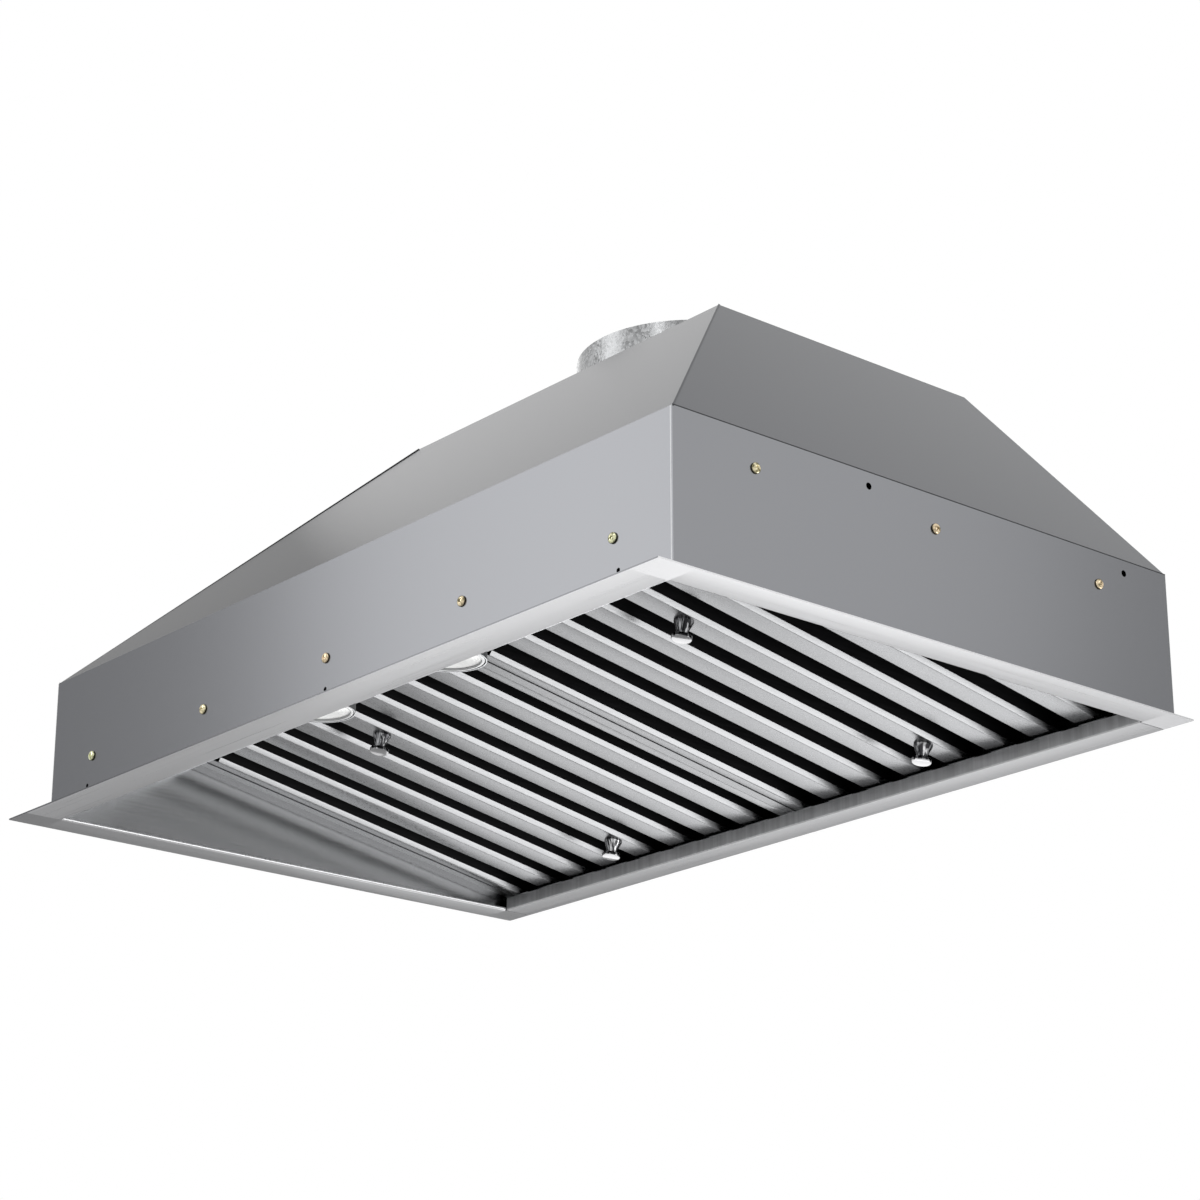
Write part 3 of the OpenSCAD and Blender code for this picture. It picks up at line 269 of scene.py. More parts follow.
# Painted shade on the knob's downward faces, its disc.
with_painted_shade_below(knob_chrome_painted_streaks, KNOB_DISC_PAINTED_SHADE)
spun_bezel = polished("spun_bezel", (0.34, 0.343, 0.347), 0.3, smear=0.08)
screw_zinc = yellow_zinc("screw_zinc")
mill_aluminium = sheet_steel("mill_aluminium", (0.50, 0.507, 0.515), 0.34, ALONG_X, contrast=0.05)
motor_paint = plastic("motor_paint", (0.03, 0.03, 0.032), 0.4, grain=500.0)
cast_metal = sheet_steel("cast_metal", (0.34, 0.345, 0.35), 0.5, CAST)
black_plastic = plastic("black_plastic", (0.018, 0.018, 0.019), 0.42)
pale_plastic = plastic("pale_plastic", (0.72, 0.72, 0.70), 0.4, coat=0.1)
board_green = plastic("board_green", (0.02, 0.14, 0.05), 0.35, coat=0.3)
lead_sheath = plastic("lead_sheath", (0.012, 0.012, 0.012), 0.5)
lens_glass = frosted_glass("lens_glass")
# The side folds have real seams; their dark line is painted shade.
seam_painted_shade = sheet_steel("seam_painted_shade", (0.06, 0.061, 0.064), 0.5, ALONG_Y, contrast=0.1)
# The casing's cut edges, lighter than the casing: a painted highlight.
painted_cut_edge_light = sheet_steel("painted_cut_edge_light", (0.27, 0.273, 0.28), 0.24, ROLLED, contrast=0.05, rim=0.36)
# The back flange's lip: a brighter copy of the flange steel, painted light.
lip_painted_light = sheet_steel("lip_painted_light", (0.52, 0.522, 0.53), 0.34, SOFT_UPRIGHT, contrast=0.12,
                        rough_swing=0.03, relief=SMOOTH)
# Painted highlight for the side flanges' faces that look to +X: the right one's outer edge, the left
# one's lip.
edge_painted_highlight = sheet_steel("edge_painted_highlight", (0.52, 0.522, 0.53), 0.3, ROLLED, contrast=0.05)
edge_shade = sheet_steel("edge_shade", (0.14, 0.142, 0.149), 0.23, ROLLED, contrast=0.02,
                         rough_swing=0.01, relief=SMOOTH, rim=0.34)


def finish_nodes(material, *names):
    """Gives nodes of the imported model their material; the pieces below replace some of them."""
    for name in names:
        node = NODES[name]
        node.data.materials.clear()
        node.data.materials.append(material)


finish_nodes(front_strip_painted_light, "front_flange")
finish_nodes(back_strip_painted_shade, "back_flange")
finish_nodes(left_strip_painted_shade, "left_flange")
finish_nodes(right_strip_painted_light, "right_flange")
finish_nodes(casing_steel, "front_casing", "left_casing", "right_casing", "back_casing")
finish_nodes(top_steel, "top_plate")
finish_nodes(liner_steel, "left_liner", "right_liner", "rear_rail")
finish_nodes(panel_steel, "lamp_sleeves", "control_plate")
finish_nodes(filter_steel, "centre_divider", "side_spacers", "left_filter_frame",
             "right_filter_frame", "left_lower_baffles", "right_lower_baffles")
finish_nodes(shaded_steel, "left_upper_baffles", "right_upper_baffles")
finish_nodes(screw_zinc, "front_screws", "side_screws")
finish_nodes(zinc_plate, "back_rivets", "top_screws", "damper_stops", "damper_rod",
             "motor_shaft", "motor_bracket", "bracket_screws")
finish_nodes(collar_zinc, "duct_collar")
finish_nodes(blower_zinc, "scroll_wrap", "left_scroll_plate", "right_scroll_plate",
             "impeller", "terminal_box")
finish_nodes(mill_aluminium, "front_flap", "back_flap")
finish_nodes(motor_paint, "motor")
finish_nodes(cast_metal, "left_lamp_can", "right_lamp_can")
finish_nodes(black_plastic, "cable_gland", "control_box")
finish_nodes(pale_plastic, "capacitor")
finish_nodes(board_green, "control_board")
finish_nodes(lead_sheath, "motor_lead", "control_lead")
finish_nodes(knob_chrome_painted_streaks, "left_knobs", "right_knobs")
finish_nodes(chrome, *[f"button_{i}" for i in range(1, 6)])
finish_nodes(spun_bezel, "left_lamp_bezel", "right_lamp_bezel")
finish_nodes(lens_glass, "left_lamp_lens", "right_lamp_lens")


# Shapes: a shape is a list of points and a list of faces, and shapes are joined into pieces

ARC_STEPS = 4
SHARP_DEGREES = 35
SAME_WAY = 0.9
ON_AXIS = 0.0001 * MM


def joined(shapes):
    points, faces = [], []
    for more_points, more_faces in shapes:
        faces += [[i + len(points) for i in face] for face in more_faces]
        points += more_points
    return points, faces


def make_piece(name, shape, material, body, *replaced):
    points, faces = shape
    mesh = bpy.data.meshes.new(name)
    mesh.from_pydata([tuple(p) for p in points], [], faces)
    bm = bmesh.new()
    bm.from_mesh(mesh)
    bmesh.ops.recalc_face_normals(bm, faces=bm.faces)
    bm.to_mesh(mesh)
    bm.free()
    mesh.shade_smooth()
    mesh.set_sharp_from_angle(angle=math.radians(SHARP_DEGREES))
    mesh.materials.append(material)
    piece = bpy.data.objects.new(name, mesh)
    bpy.context.scene.collection.objects.link(piece)
    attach(piece, body)
    for node in replaced:
        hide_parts(node)
    return piece


def shade_faces(piece, material, facing):
    """Gives another material to those faces of a piece that look along a direction."""
    piece.data.materials.append(material)
    for face in piece.data.polygons:
        if face.normal.dot(Vector(facing)) > SAME_WAY:
            face.material_index = len(piece.data.materials) - 1


def across(v):
    """The direction a quarter turn on from v."""
    return Vector((-v.y, v.x))


def bent(path, thickness, radius=0.0):
    """Pairs of points on the two faces of a sheet whose middle follows a path with round bends."""
    path = [Vector(p) for p in path]
    middle = []
    for i, p in enumerate(path):
        if i in (0, len(path) - 1):
            run = path[1] - p if i == 0 else p - path[-2]
            middle.append((p, across(run.normalized())))
            continue
        before, after = (p - path[i - 1]).normalized(), (path[i + 1] - p).normalized()
        turn = math.atan2(before.x * after.y - before.y * after.x, before.dot(after))
        side = math.copysign(1, turn)
        start = p - before * radius * abs(math.tan(turn / 2))
        centre = start + across(before) * side * radius
        for k in range(ARC_STEPS + 1):
            c, s = math.cos(turn * k / ARC_STEPS), math.sin(turn * k / ARC_STEPS)
            normal = across(Vector((before.x * c - before.y * s, before.x * s + before.y * c)))
            middle.append((centre - normal * side * radius, normal))
    return [(p + n * thickness / 2, p - n * thickness / 2) for p, n in middle]


def swept(pairs, start, end, place):
    """A sheet's section drawn out from start to end; place turns (section point, run) into 3-D."""
    points = [place(p, run) for run in (start, end) for pair in pairs for p in pair]
    faces = []
    far = 2 * len(pairs)
    for a in range(0, far - 2, 2):
        b = a + 2
        faces += [[a, b, b + far, a + far], [a + 1, a + 1 + far, b + 1 + far, b + 1],
                  [a, a + 1, b + 1, b], [a + far, b + far, b + 1 + far, a + 1 + far]]
    last = far - 2
    faces += [[0, far, far + 1, 1], [last, last + 1, last + 1 + far, last + far]]
    return points, faces


def rounded(corners, radii, closed=True):
    """An outline with its corners rounded, each by its own radius."""
    out = []
    for i, (x, y) in enumerate(corners):
        p, r = Vector((x, y)), radii[i]
        if r <= 0 or (not closed and i in (0, len(corners) - 1)):
            out.append(p)
            continue
        to_last = (Vector(corners[i - 1]) - p).normalized()
        to_next = (Vector(corners[(i + 1) % len(corners)]) - p).normalized()
        half = to_last.angle(to_next) / 2
        start, end = p + to_last * r / math.tan(half), p + to_next * r / math.tan(half)
        centre = p + (to_last + to_next).normalized() * r / math.sin(half)
        for k in range(ARC_STEPS + 1):
            mix = (start - centre).lerp(end - centre, k / ARC_STEPS)
            out.append(centre + mix.normalized() * r)
    return out


def turned(outline, place, segments=48, closed=False):
    """An outline of (radius, height) points turned about the axis; open ones end on the axis."""
    points, rings = [], []
    for p in outline:
        if p[0] < ON_AXIS:
            rings.append([len(points)] * segments)
            points.append(place(Vector((0, 0, p[1]))))
            continue
        rings.append(list(range(len(points), len(points) + segments)))
        for k in range(segments):
            a = math.tau * k / segments
            points.append(place(Vector((p[0] * math.cos(a), p[0] * math.sin(a), p[1]))))
    faces = []
    pairs = list(zip(rings, rings[1:])) + ([(rings[-1], rings[0])] if closed else [])
    for low, high in pairs:
        for k in range(segments):
            face = [low[k], low[(k + 1) % segments], high[(k + 1) % segments], high[k]]
            face = [v for i, v in enumerate(face) if v not in face[:i]]
            if len(face) > 2:
                faces.append(face)
    return points, faces


def middle_of(box):
    return (Vector(box[0]) + Vector(box[1])) / 2


# Flange: bent strips whose lips turn up round the opening

FLANGE_T = 1.2 * MM
CRISP_R, ROUND_R = 0.7 * MM, 1.5 * MM
SEAM = 0.7 * MM
front_box, back_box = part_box("front_flange"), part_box("back_flange")
right_box, left_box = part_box("right_flange"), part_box("left_flange")
OPEN_HX = front_box[1][0]
OPEN_Y0 = front_box[1][1]
OPEN_Y1 = back_box[0][1]


def along_x(p, run):
    return Vector((run, p.x, p.y))


def along_y(p, run):
    return Vector((p.x, run, p.y))


def lipped_strip(outer, inner, lip, radius):
    """Section from the flange's outer edge to the opening, then up the lip."""
    inside = inner + math.copysign(FLANGE_T / 2, outer - inner)
    low = FLANGE_T / 2
    return bent([(outer, low), (inside, low), (inside, lip)], FLANGE_T, radius)


def flat_strip(outer, inner):
    low = FLANGE_T / 2
    return bent([(outer, low), (inner, low)], FLANGE_T)


def make_flange():
    front = lipped_strip(front_box[0][1], OPEN_Y0, front_box[1][2], CRISP_R)
    piece = make_piece("flange_front", swept(front, -OPEN_HX, OPEN_HX, along_x), front_strip_painted_light,
                       "housing", "front_flange")
    shade_faces(piece, edge_shade, (0, -1, 0))
    back = lipped_strip(back_box[1][1], OPEN_Y1, back_box[1][2], CRISP_R)
    piece = make_piece("flange_back", swept(back, -OPEN_HX + SEAM, OPEN_HX - SEAM, along_x),
                       back_strip_painted_shade, "housing", "back_flange")
    # Painted light on the back lip's face toward the opening.
    shade_faces(piece, lip_painted_light, (0, -1, 0))
    for name, box, side, steel in (("left", left_box, -1, left_strip_painted_shade),
                                   ("right", right_box, 1, right_strip_painted_light)):
        edge = side * right_box[1][0]
        plain = flat_strip(edge, side * OPEN_HX)
        lipped = lipped_strip(edge, side * OPEN_HX, box[1][2], ROUND_R)
        shape = joined([swept(plain, box[0][1], OPEN_Y0, along_y),
                        swept(lipped, OPEN_Y0, OPEN_Y1, along_y),
                        swept(plain, OPEN_Y1, box[1][1], along_y)])
        piece = make_piece(f"flange_{name}", shape, steel, "housing", f"{name}_flange")
        # Painted highlight on the faces toward +X, painted shade on those toward the front.
        shade_faces(piece, edge_painted_highlight, (1, 0, 0))
        shade_faces(piece, edge_shade, (0, -1, 0))


# Filters, in their own sloping frame: u across, v forward from the back edge, w up

TILT = math.radians(10.2)
FILTER_H = 20 * MM
FILTER_T = 0.8 * MM
BAFFLE_IN = 2 * FILTER_T
SIDE_FLAT = 10 * MM
END_FLAT = 9 * MM
FRONT_FLAT = 3.5 * MM
RAIL_GAP = 0.3 * MM
RAIL_BEND, END_BEND = 1 * MM, 0.8 * MM
SLATS = 7
SLAT_W, SLAT_H, SLAT_LEAN = 20 * MM, 4.6 * MM, 2.5 * MM
SLAT_BEND = 0.5 * MM
CAP_W, CAP_H = 22 * MM, 14 * MM
KNOB_VS = (57 * MM, 330 * MM)


class Filter:
    """Where a filter lies, and how its own frame turns into the insert's."""

    def __init__(self, side):
        lo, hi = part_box(f"{side}_filter_frame")
        self.side = side
        self.cx = (lo[0] + hi[0]) / 2
        self.half = (hi[0] - lo[0]) / 2
        self.back_y = hi[1] - FILTER_H * math.sin(TILT)
        self.back_z = lo[2]
        self.length = (self.back_y - lo[1]) / math.cos(TILT)

    def at(self, u, v, w):
        return Vector((self.cx + u, self.back_y - v * math.cos(TILT) + w * math.sin(TILT),
                       self.back_z + v * math.sin(TILT) + w * math.cos(TILT)))

    def along(self, p, run):
        return self.at(p.x, run, p.y)

    def over(self, p, run):
        return self.at(run, p.x, p.y)


def rail_section(half, sign, flank):
    """The channel along a filter's side, with or without the flank that stands at its lower flat."""
    t = FILTER_T
    inner = half - SIDE_FLAT
    path = [(inner, FILTER_H - t / 2), (half - t / 2, FILTER_H - t / 2), (half - t / 2, t / 2),
            (inner, t / 2)]
    if flank:
        path.append((inner - SLAT_LEAN + t / 2, SLAT_H))
    return bent([(sign * x, w) for x, w in path], t, RAIL_BEND)


def end_section(edge, inward, flat):
    """The channel across a filter's end: its wall stands at the edge, its flats reach inward."""
    wall, tip = edge + inward * FILTER_T / 2, edge + inward * flat
    low = 1.5 * FILTER_T
    high = FILTER_H - low
    return bent([(tip, high), (wall, high), (wall, low), (tip, low)], FILTER_T, END_BEND)


def baffle_section(centre, flat, lean, height, base, up):
    """A baffle's flat at its base, with two leaning flanks; up is 1 or, for the upper ones, -1."""
    t = FILTER_T
    path = [(-flat / 2 - lean + t / 2, height), (-flat / 2, t / 2), (flat / 2, t / 2),
            (flat / 2 + lean - t / 2, height)]
    return bent([(centre + x, base + up * w) for x, w in path], t, SLAT_BEND)


def make_filter(f):
    t = FILTER_T
    body = f"{f.side}_filter"
    ends = END_FLAT + RAIL_GAP
    frame_parts = []
    for sign in (-1, 1):
        plain, flanked = rail_section(f.half, sign, False), rail_section(f.half, sign, True)
        frame_parts += [swept(plain, 0, ends, f.along), swept(flanked, ends, f.length - ends, f.along),
                        swept(plain, f.length - ends, f.length, f.along)]
    inner = f.half - t
    frame_parts += [swept(end_section(0, 1, END_FLAT), -inner, inner, f.over),
                    swept(end_section(f.length, -1, FRONT_FLAT), -inner, inner, f.over)]
    make_piece(f"filter_frame_{f.side}", joined(frame_parts), filter_steel, body,
               f"{f.side}_filter_frame")
    pitch = (2 * f.half - 2 * SIDE_FLAT + SLAT_W) / (SLATS + 1)
    lower = [swept(baffle_section((i - (SLATS - 1) / 2) * pitch, SLAT_W, SLAT_LEAN, SLAT_H,
                                  BAFFLE_IN, 1), t, f.length - t, f.along)
             for i in range(SLATS)]
    make_piece(f"baffles_{f.side}", joined(lower), filter_steel, body, f"{f.side}_lower_baffles")
    upper = [swept(baffle_section((i - SLATS / 2) * pitch, CAP_W, SLAT_LEAN, CAP_H,
                                  FILTER_H - BAFFLE_IN, -1), t, f.length - t, f.along)
             for i in range(SLATS + 1)]
    make_piece(f"caps_{f.side}", joined(upper), shaded_steel, body, f"{f.side}_upper_baffles")
    make_piece(f"pulls_{f.side}", joined([knob_shape(f, v) for v in KNOB_VS]), knob_chrome_painted_streaks, body,
               f"{f.side}_knobs")


KNOB_BASE_R, KNOB_WAIST_R, KNOB_DISC_R = 8.2 * MM, 3.2 * MM, 8.5 * MM
KNOB_FOOT_H, KNOB_CONE_H, KNOB_DISC_H = 1.2 * MM, 13 * MM, 3.5 * MM
KNOB_DISC_RISE = 0.4 * MM
STUD_R = 2 * MM
NUT_R, NUT_H = 3.8 * MM, 2.6 * MM


def knob_shape(f, v):
    """A turned knob that hangs from its baffle, with its stud and nut on the other side."""
    top, low = FILTER_T + NUT_H, -KNOB_CONE_H - KNOB_DISC_H
    corners = [(0, top), (STUD_R, top), (STUD_R, 0), (KNOB_BASE_R, 0), (KNOB_BASE_R, -KNOB_FOOT_H),
               (KNOB_WAIST_R, -KNOB_CONE_H), (KNOB_DISC_R, -KNOB_CONE_H - KNOB_DISC_RISE),
               (KNOB_DISC_R, low), (0, low)]
    roundings = [r * MM for r in (0, 0.3, 0, 0.2, 0.5, 1.2, 0.5, 0.8, 0)]

    def place(p):
        return f.at(p.x, v + p.y, BAFFLE_IN + p.z)

    nut = [(STUD_R, FILTER_T), (NUT_R, FILTER_T), (NUT_R, top), (STUD_R, top)]
    return joined([turned(rounded(corners, roundings, closed=False), place),
                   turned(nut, place, segments=6, closed=True)])


# Screws: a domed head with a cross recess on a plain shank

HEAD_R, HEAD_H, HEAD_WALL = 4.3 * MM, 2.6 * MM, 0.75 * MM
DOME_POWER = 2.6
HEAD_RINGS, HEAD_SEGMENTS = 22, 72
SEAT_R = 3.5 * MM
SHANK_R = 2 * MM
RECESS_L, RECESS_W, RECESS_DEEP = 2.35 * MM, 0.62 * MM, 1.5 * MM
# How far a slot narrows to its end, how much of its width slopes, and how its floor rises
SLOT_TAPER, SLOT_SLOPE, SLOT_POWER = 0.45, 0.3, 0.7
FRONT_SCREWS, SIDE_SCREWS, COLLAR_SCREWS = 5, 3, 6
CASING_SCREW_L, COLLAR_SCREW_L = 8 * MM, 4 * MM
COLLAR_SCREW_R, COLLAR_FOOT_T = 108 * MM, 1 * MM
FIRST_COLLAR_SCREW = math.radians(30)
FRONT_TURN, SIDE_TURN, COLLAR_TURN = (0.5, 1.1), (0.2, 0.9), (0.0, 0.7)


def head_height(r):
    """Height of the dome over its underside: a short wall, then nearly an ellipse."""
    return HEAD_WALL + (HEAD_H - HEAD_WALL) * math.sqrt(max(0.0, 1 - (r / HEAD_R) ** DOME_POWER))


def recess_depth(x, y):
    """Depth of the cross recess, deepest in the middle and shallow at its four ends."""
    depth = 0.0
    for along, over in ((abs(x), abs(y)), (abs(y), abs(x))):
        if along < RECESS_L:
            width = RECESS_W * (1 - SLOT_TAPER * along / RECESS_L)
            wall = min(1.0, max(0.0, (width - over) / (SLOT_SLOPE * width)))
            depth = max(depth, wall * RECESS_DEEP * (1 - along / RECESS_L) ** SLOT_POWER)
    return depth


def screw_shape(place, length, turns, i):
    """Screw number i of its row; turns are the first one's turn and the step to the next."""
    segments = HEAD_SEGMENTS
    around = [(math.cos(math.tau * k / segments), math.sin(math.tau * k / segments))
              for k in range(segments)]
    turn = turns[0] + turns[1] * i
    c, s = math.cos(turn), math.sin(turn)
    points = [place(Vector((0, 0, head_height(0) - RECESS_DEEP)))]
    for ring in range(1, HEAD_RINGS + 1):
        r = HEAD_R * ring / HEAD_RINGS
        for x, y in ((r * ux, r * uy) for ux, uy in around):
            z = head_height(r) - recess_depth(x * c + y * s, y * c - x * s)
            points.append(place(Vector((x, y, z))))
    for r, z in ((SEAT_R, 0), (SHANK_R, 0), (SHANK_R, -length)):
        points += [place(Vector((r * ux, r * uy, z))) for ux, uy in around]
    faces = [[0, 1 + k, 1 + (k + 1) % segments] for k in range(segments)]
    for ring in range(HEAD_RINGS + 2):
        a = 1 + ring * segments
        for k in range(segments):
            k2 = (k + 1) % segments
            faces.append([a + k, a + k2, a + segments + k2, a + segments + k])
    faces.append([1 + (HEAD_RINGS + 2) * segments + k for k in range(segments)])
    return points, faces


def make_front_screws():
    front_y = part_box("front_casing")[0][1]
    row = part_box("front_screws")
    z = middle_of(row).z
    spacing = (row[1][0] - row[0][0] - 2 * HEAD_R) / (FRONT_SCREWS - 1)
    shapes = []
    for i in range(FRONT_SCREWS):
        x = (i - (FRONT_SCREWS - 1) / 2) * spacing
        shapes.append(screw_shape(lambda p, x=x: Vector((x + p.x, front_y - p.z, z + p.y)),
                                  CASING_SCREW_L, FRONT_TURN, i))
    make_piece("screws_front", joined(shapes), screw_zinc, "housing", "front_screws")


def make_side_screws():
    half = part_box("right_casing")[1][0]
    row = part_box("side_screws")
    first, last = row[0][1] + HEAD_R, row[1][1] - HEAD_R
    z = middle_of(row).z
    shapes = []
    for i in range(SIDE_SCREWS):
        y = first + (last - first) * i / (SIDE_SCREWS - 1)
        for sign in (-1, 1):
            shapes.append(screw_shape(
                lambda p, y=y, sign=sign: Vector((sign * (half + p.z), y + sign * p.x, z + p.y)),
                CASING_SCREW_L, SIDE_TURN, i))
    make_piece("screws_side", joined(shapes), screw_zinc, "housing", "side_screws")


def make_collar_screws():
    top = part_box("top_plate")[1][2]
    collar_y = middle_of(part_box("duct_collar")).y
    shapes = []
    for i in range(COLLAR_SCREWS):
        a = FIRST_COLLAR_SCREW + math.tau * i / COLLAR_SCREWS
        spot = Vector((COLLAR_SCREW_R * math.cos(a), collar_y + COLLAR_SCREW_R * math.sin(a),
                       top + COLLAR_FOOT_T))
        shapes.append(screw_shape(lambda p, spot=spot: spot + p, COLLAR_SCREW_L, COLLAR_TURN, i))
    make_piece("screws_top", joined(shapes), zinc_plate, "housing", "top_screws")


# Lamps: a spun bezel round a lens of concentric prisms

BEZEL_W, BEZEL_T, BEZEL_LIP = 3.2 * MM, 1.6 * MM, 2 * MM
LENS_H = 3 * MM
PRISM_PITCH, PRISM_DEEP = 1.1 * MM, 0.45 * MM
PRISM_STEEP = 0.25


def make_lamp(side):
    lo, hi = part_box(f"{side}_lamp_bezel")
    centre = middle_of((lo, hi))
    radius, height = (hi[0] - lo[0]) / 2, hi[2] - lo[2]

    def place(p):
        return Vector((centre.x + p.x, centre.y + p.y, lo[2] + p.z))

    corners = [(radius - BEZEL_W, 0), (radius, 0), (radius, height), (radius - BEZEL_T, height),
               (radius - BEZEL_T, BEZEL_LIP), (radius - BEZEL_W, BEZEL_LIP)]
    roundings = [r * MM for r in (0.5, 1.4, 0.2, 0.2, 0, 0.4)]
    bezel = turned(rounded(corners, roundings), place, 96, closed=True)
    make_piece(f"bezel_{side}", bezel, spun_bezel, "housing", f"{side}_lamp_bezel")
    lens_lo, lens_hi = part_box(f"{side}_lamp_lens")
    lens_r = (lens_hi[0] - lens_lo[0]) / 2
    rings = int((lens_r - BEZEL_W) / PRISM_PITCH)
    outline = [(0, BEZEL_LIP + LENS_H), (lens_r, BEZEL_LIP + LENS_H), (lens_r, BEZEL_LIP)]
    for i in range(rings, 0, -1):
        outline += [(i * PRISM_PITCH, BEZEL_LIP),
                    ((i - PRISM_STEEP) * PRISM_PITCH, BEZEL_LIP + PRISM_DEEP)]
    outline.append((0, BEZEL_LIP))
    make_piece(f"lens_{side}", turned(outline, place, 72), lens_glass, "housing",
               f"{side}_lamp_lens")


# Light panel: the solid's own sheet, with its shelf cut back to what the flange hides

SHELF_W = 1.5 * MM


def make_light_panel():
    mesh = bpy.data.meshes.new("slanted_panel")
    bm = bmesh.new()
    bm.from_mesh(NODES["light_panel"].data)
    edge = Vector((0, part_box("left_filter_frame")[0][1] + SHELF_W, 0))
    everything = bm.verts[:] + bm.edges[:] + bm.faces[:]
    cut = bmesh.ops.bisect_plane(bm, geom=everything, plane_co=edge, plane_no=(0, 1, 0),
                                 clear_outer=True)["geom_cut"]
    bmesh.ops.holes_fill(bm, edges=[e for e in cut if isinstance(e, bmesh.types.BMEdge)])
    bm.to_mesh(mesh)
    bm.free()
    mesh.materials.clear()
    mesh.materials.append(panel_steel)
    piece = bpy.data.objects.new("slanted_panel", mesh)
    bpy.context.scene.collection.objects.link(piece)
    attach(piece, "housing")
    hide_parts("light_panel")


# Seams, hips and cut edges of the casing: strips that lie on the sheets, dark with painted shade or
# light with painted highlights

STRIP = 0.06 * MM
FOLD_Z = 128.5 * MM
LINE_W, HIP_W = 0.9 * MM, 1.6 * MM
SHEET = 1.2 * MM


def slab(a, b, width, normal):
    """A thin closed strip from a to b, with its width square to the normal."""
    side = (b - a).cross(normal).normalized() * width
    lift = normal.normalized() * STRIP
    base = [a, b, b + side, a + side]
    points = [p - lift for p in base] + [p + lift for p in base]
    return points, [[0, 1, 2, 3], [4, 7, 6, 5], [0, 4, 5, 1], [1, 5, 6, 2], [2, 6, 7, 3],
                    [3, 7, 4, 0]]


def make_seams():
    """Painted shade as dark lines in the side fold seams and along the hips down the front slope,
    painted highlights on the cut edges below.
    """
    side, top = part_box("right_casing"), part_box("top_plate")
    half, y0, y1 = side[1][0], side[0][1], side[1][1]
    top_half, top_y, top_z = top[1][0], top[0][1], top[1][2]
    dark, bright, hips = [], [], []
    for sign in (-1, 1):
        foot, crest = Vector((sign * half, y0, FOLD_Z)), Vector((sign * top_half, top_y, top_z))
        slope = Vector((sign * (top_z - FOLD_Z), 0, half - top_half))
        hips.append(slab(foot, crest, sign * HIP_W, slope))
        a, b = foot, Vector((sign * half, y1, FOLD_Z))
        if sign < 0:
            a, b = b, a
        dark.append(slab(a, b, -LINE_W, Vector((sign, 0, 0))))
        edge = min(sign * half, sign * (half - SHEET))
        low, high = Vector((edge, y0, FLANGE_T)), Vector((edge, y0, FOLD_Z))
        bright.append(slab(low, high, -SHEET, Vector((0, -1, 0))))
    make_piece("fold_seam_shades", joined(dark), seam_painted_shade, "housing")
    make_piece("hip_shades", joined(hips), edge_shade, "housing")
    make_piece("painted_edge_highlights", joined(bright), painted_cut_edge_light, "housing")


make_flange()
for side_name in ("left", "right"):
    make_filter(Filter(side_name))
    make_lamp(side_name)
make_front_screws()
make_side_screws()
make_collar_screws()
make_light_panel()
make_seams()


# Stage: a pale floor far below the insert, a white surround, soft lights and the camera

FLOOR_Z = -1.3
FLOOR_R = 14.0
FLOOR_SHADE, FLOOR_LIGHT = (0.86, 0.86, 0.86), (0.89, 0.89, 0.89)
# The floor's own white begins at its middle with the least glow and is full far away
GLOW_STARTS, GLOW_FULL = 0.8, 4.0
LEAST_GLOW = 0.35
SKY_LEVEL = 0.8
CAMERA_AT = (1.9024, -1.5905, -0.7404)
AZIMUTH, PITCH = math.radians(49.527), math.radians(19.837)
FOCAL_PX, PICTURE_PX = 3083.85, 1200.0
SENSOR = 36.0


def seen_by_eye(tree):
    """One for rays from the camera, straight or by way of a mirror or glass, else nought."""
    rays = add(tree, "LightPath")
    seen = add(tree, "Math", {0: rays.outputs["Is Camera Ray"], 1: rays.outputs["Is Glossy Ray"]},
               operation="MAXIMUM")
    return add(tree, "Math", {0: seen.outputs[0], 1: rays.outputs["Is Transmission Ray"]},
               operation="MAXIMUM").outputs[0]


def white_to_the_eye(tree, shown, glow):
    """Joins a lit shader to plain white, which the eye sees by glow."""
    share = add(tree, "Math", {0: seen_by_eye(tree), 1: glow}, operation="MULTIPLY")
    white = add(tree, "Emission", {"Color": (1, 1, 1, 1), "Strength": 1.0})
    return add(tree, "MixShader", {0: share.outputs[0], 1: shown, 2: white.outputs[0]})


def make_floor():
    bm = bmesh.new()
    bmesh.ops.create_circle(bm, cap_ends=True, radius=FLOOR_R, segments=96)
    mesh = bpy.data.meshes.new("floor")
    bm.to_mesh(mesh)
    bm.free()
    floor = bpy.data.objects.new("floor", mesh)
    floor.location.z = FLOOR_Z
    bpy.context.scene.collection.objects.link(floor)
    mat, tree, shader = new_material("floor_paper")
    grain = noise(tree, (60, 60, 60), detail=2.0)
    tree.links.new(mix_colors(tree, grain, FLOOR_SHADE, FLOOR_LIGHT), shader.inputs["Base Color"])
    shader.inputs["Roughness"].default_value = 0.9
    where = add(tree, "TexCoord").outputs["Object"]
    away = add(tree, "VectorMath", {0: where}, operation="LENGTH").outputs["Value"]
    glow = spread(tree, away, LEAST_GLOW, 1, GLOW_STARTS, GLOW_FULL)
    lit = white_to_the_eye(tree, shader.outputs[0], glow)
    out = next(n for n in tree.nodes if n.type == "OUTPUT_MATERIAL")
    tree.links.new(lit.outputs[0], out.inputs[0])
    mesh.materials.append(mat)


def make_world():
    world = bpy.data.worlds.new("studio")
    bpy.context.scene.world = world
    world.use_nodes = True
    tree = world.node_tree
    tree.nodes.clear()
    level = add(tree, "Mix", {0: seen_by_eye(tree), 2: SKY_LEVEL, 3: 1.0},
                data_type="FLOAT").outputs[0]
    sky = add(tree, "Background", {"Color": (1, 1, 1, 1), "Strength": level})
    out = tree.nodes.new("ShaderNodeOutputWorld")
    tree.links.new(sky.outputs[0], out.inputs[0])


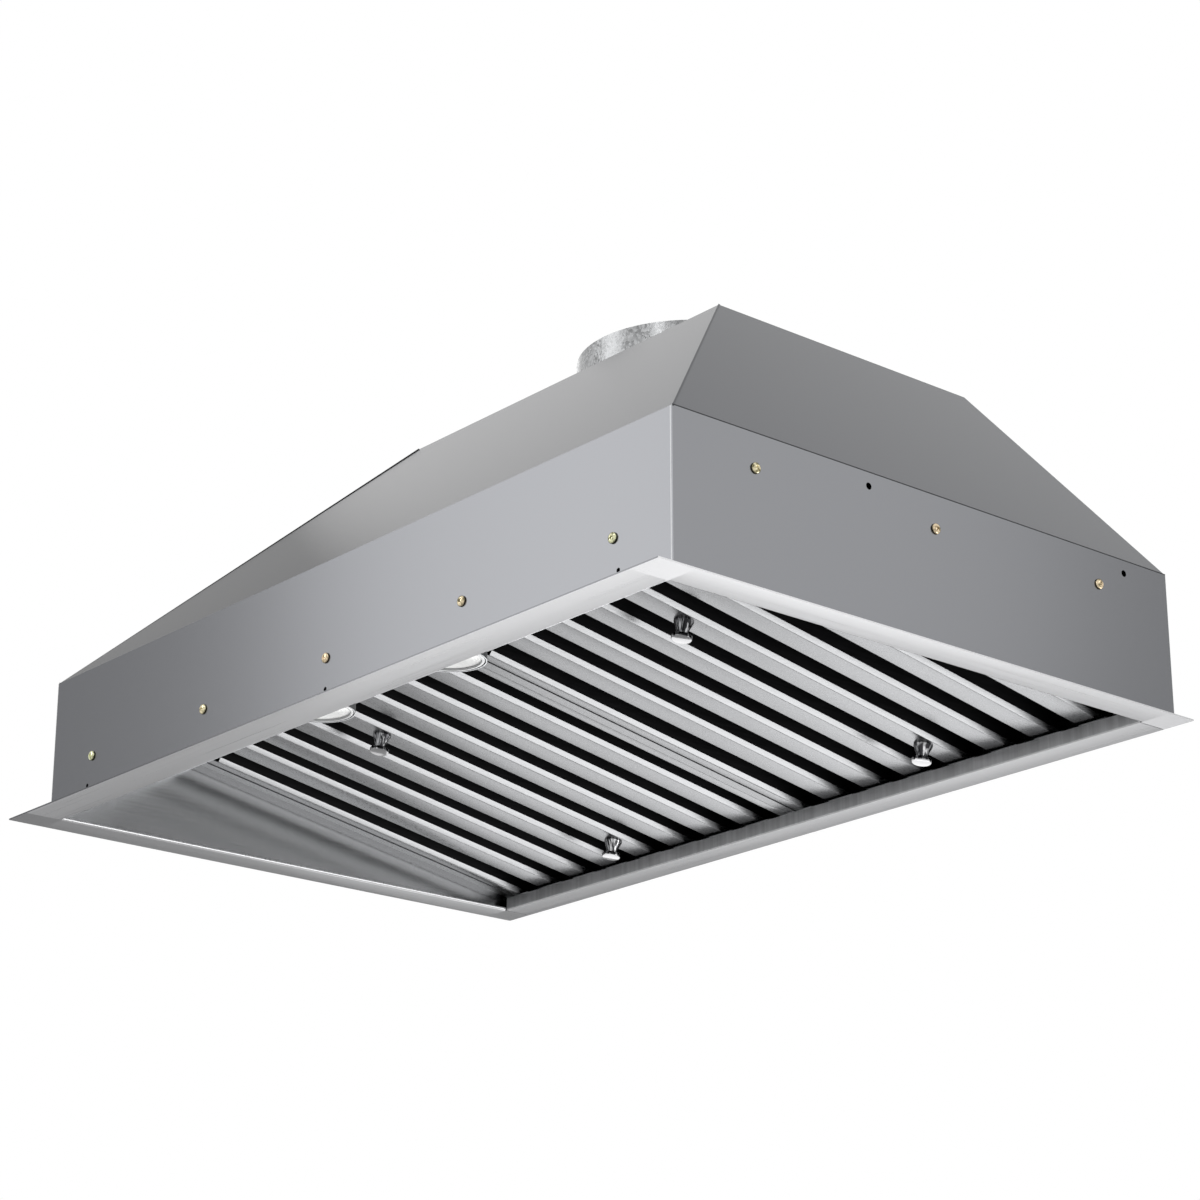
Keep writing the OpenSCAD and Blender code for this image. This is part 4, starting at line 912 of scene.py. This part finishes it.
def soft_light(name, place, target, size, power):
    """A soft box that aims at its target and doesn't show itself."""
    data = bpy.data.lights.new(name, "AREA")
    data.shape = "RECTANGLE"
    data.size, data.size_y = size
    data.energy = power
    light = bpy.data.objects.new(name, data)
    light.location = place
    light.visible_camera = False
    light.rotation_euler = (Vector(target) - Vector(place)).to_track_quat("-Z", "Y").to_euler()
    bpy.context.scene.collection.objects.link(light)


def make_camera():
    """The photograph's place and heading, as near as a camera without shift comes."""
    data = bpy.data.cameras.new("camera")
    data.sensor_width = SENSOR
    data.lens = FOCAL_PX / PICTURE_PX * SENSOR
    data.clip_end = 50.0
    camera = bpy.data.objects.new("camera", data)
    camera.location = CAMERA_AT
    ahead = Vector((-math.sin(AZIMUTH) * math.cos(PITCH), math.cos(AZIMUTH) * math.cos(PITCH),
                    math.sin(PITCH)))
    camera.rotation_euler = ahead.to_track_quat("-Z", "Y").to_euler()
    bpy.context.scene.collection.objects.link(camera)
    bpy.context.scene.camera = camera


make_camera()
make_floor()
make_world()
soft_light("key", (-1.15, -1.53, 0.86), (0.2, -0.25, 0.08), (0.84, 1.1), 6.0)
soft_light("high", (-0.86, 0.54, 1.18), (0.1, -0.15, 0.22), (0.7, 0.7), 1.5)
soft_light("crown", (-0.42, 1.4, 1.61), (0.3, 0.1, 0.25), (1.2, 1.2), 4.9)
soft_light("under", (-0.9, 1.16, -0.78), (0.3, 0.0, 0.0), (1.3, 0.5), 5.8)
soft_light("low", (-0.7, 1.0, -1.15), (0.3, 0.0, 0.0), (0.5, 0.5), 1.8)
soft_light("left", (-1.85, 0.62, -0.62), (-0.2, -0.25, 0.0), (0.6, 0.3), 0.6)
soft_light("flank", (1.16, 1.08, -0.85), (0.0, 0.0, 0.05), (1.4, 0.8), 11.5)
soft_light("side", (1.82, 1.08, 0.85), (0.41, 0.0, 0.08), (1.0, 0.8), 1.9)
soft_light("spark", (0.48, -1.3, 1.03), (0.0, 0.05, 0.38), (0.25, 0.3), 1.2)

view = bpy.context.scene.view_settings
view.view_transform = "Standard"
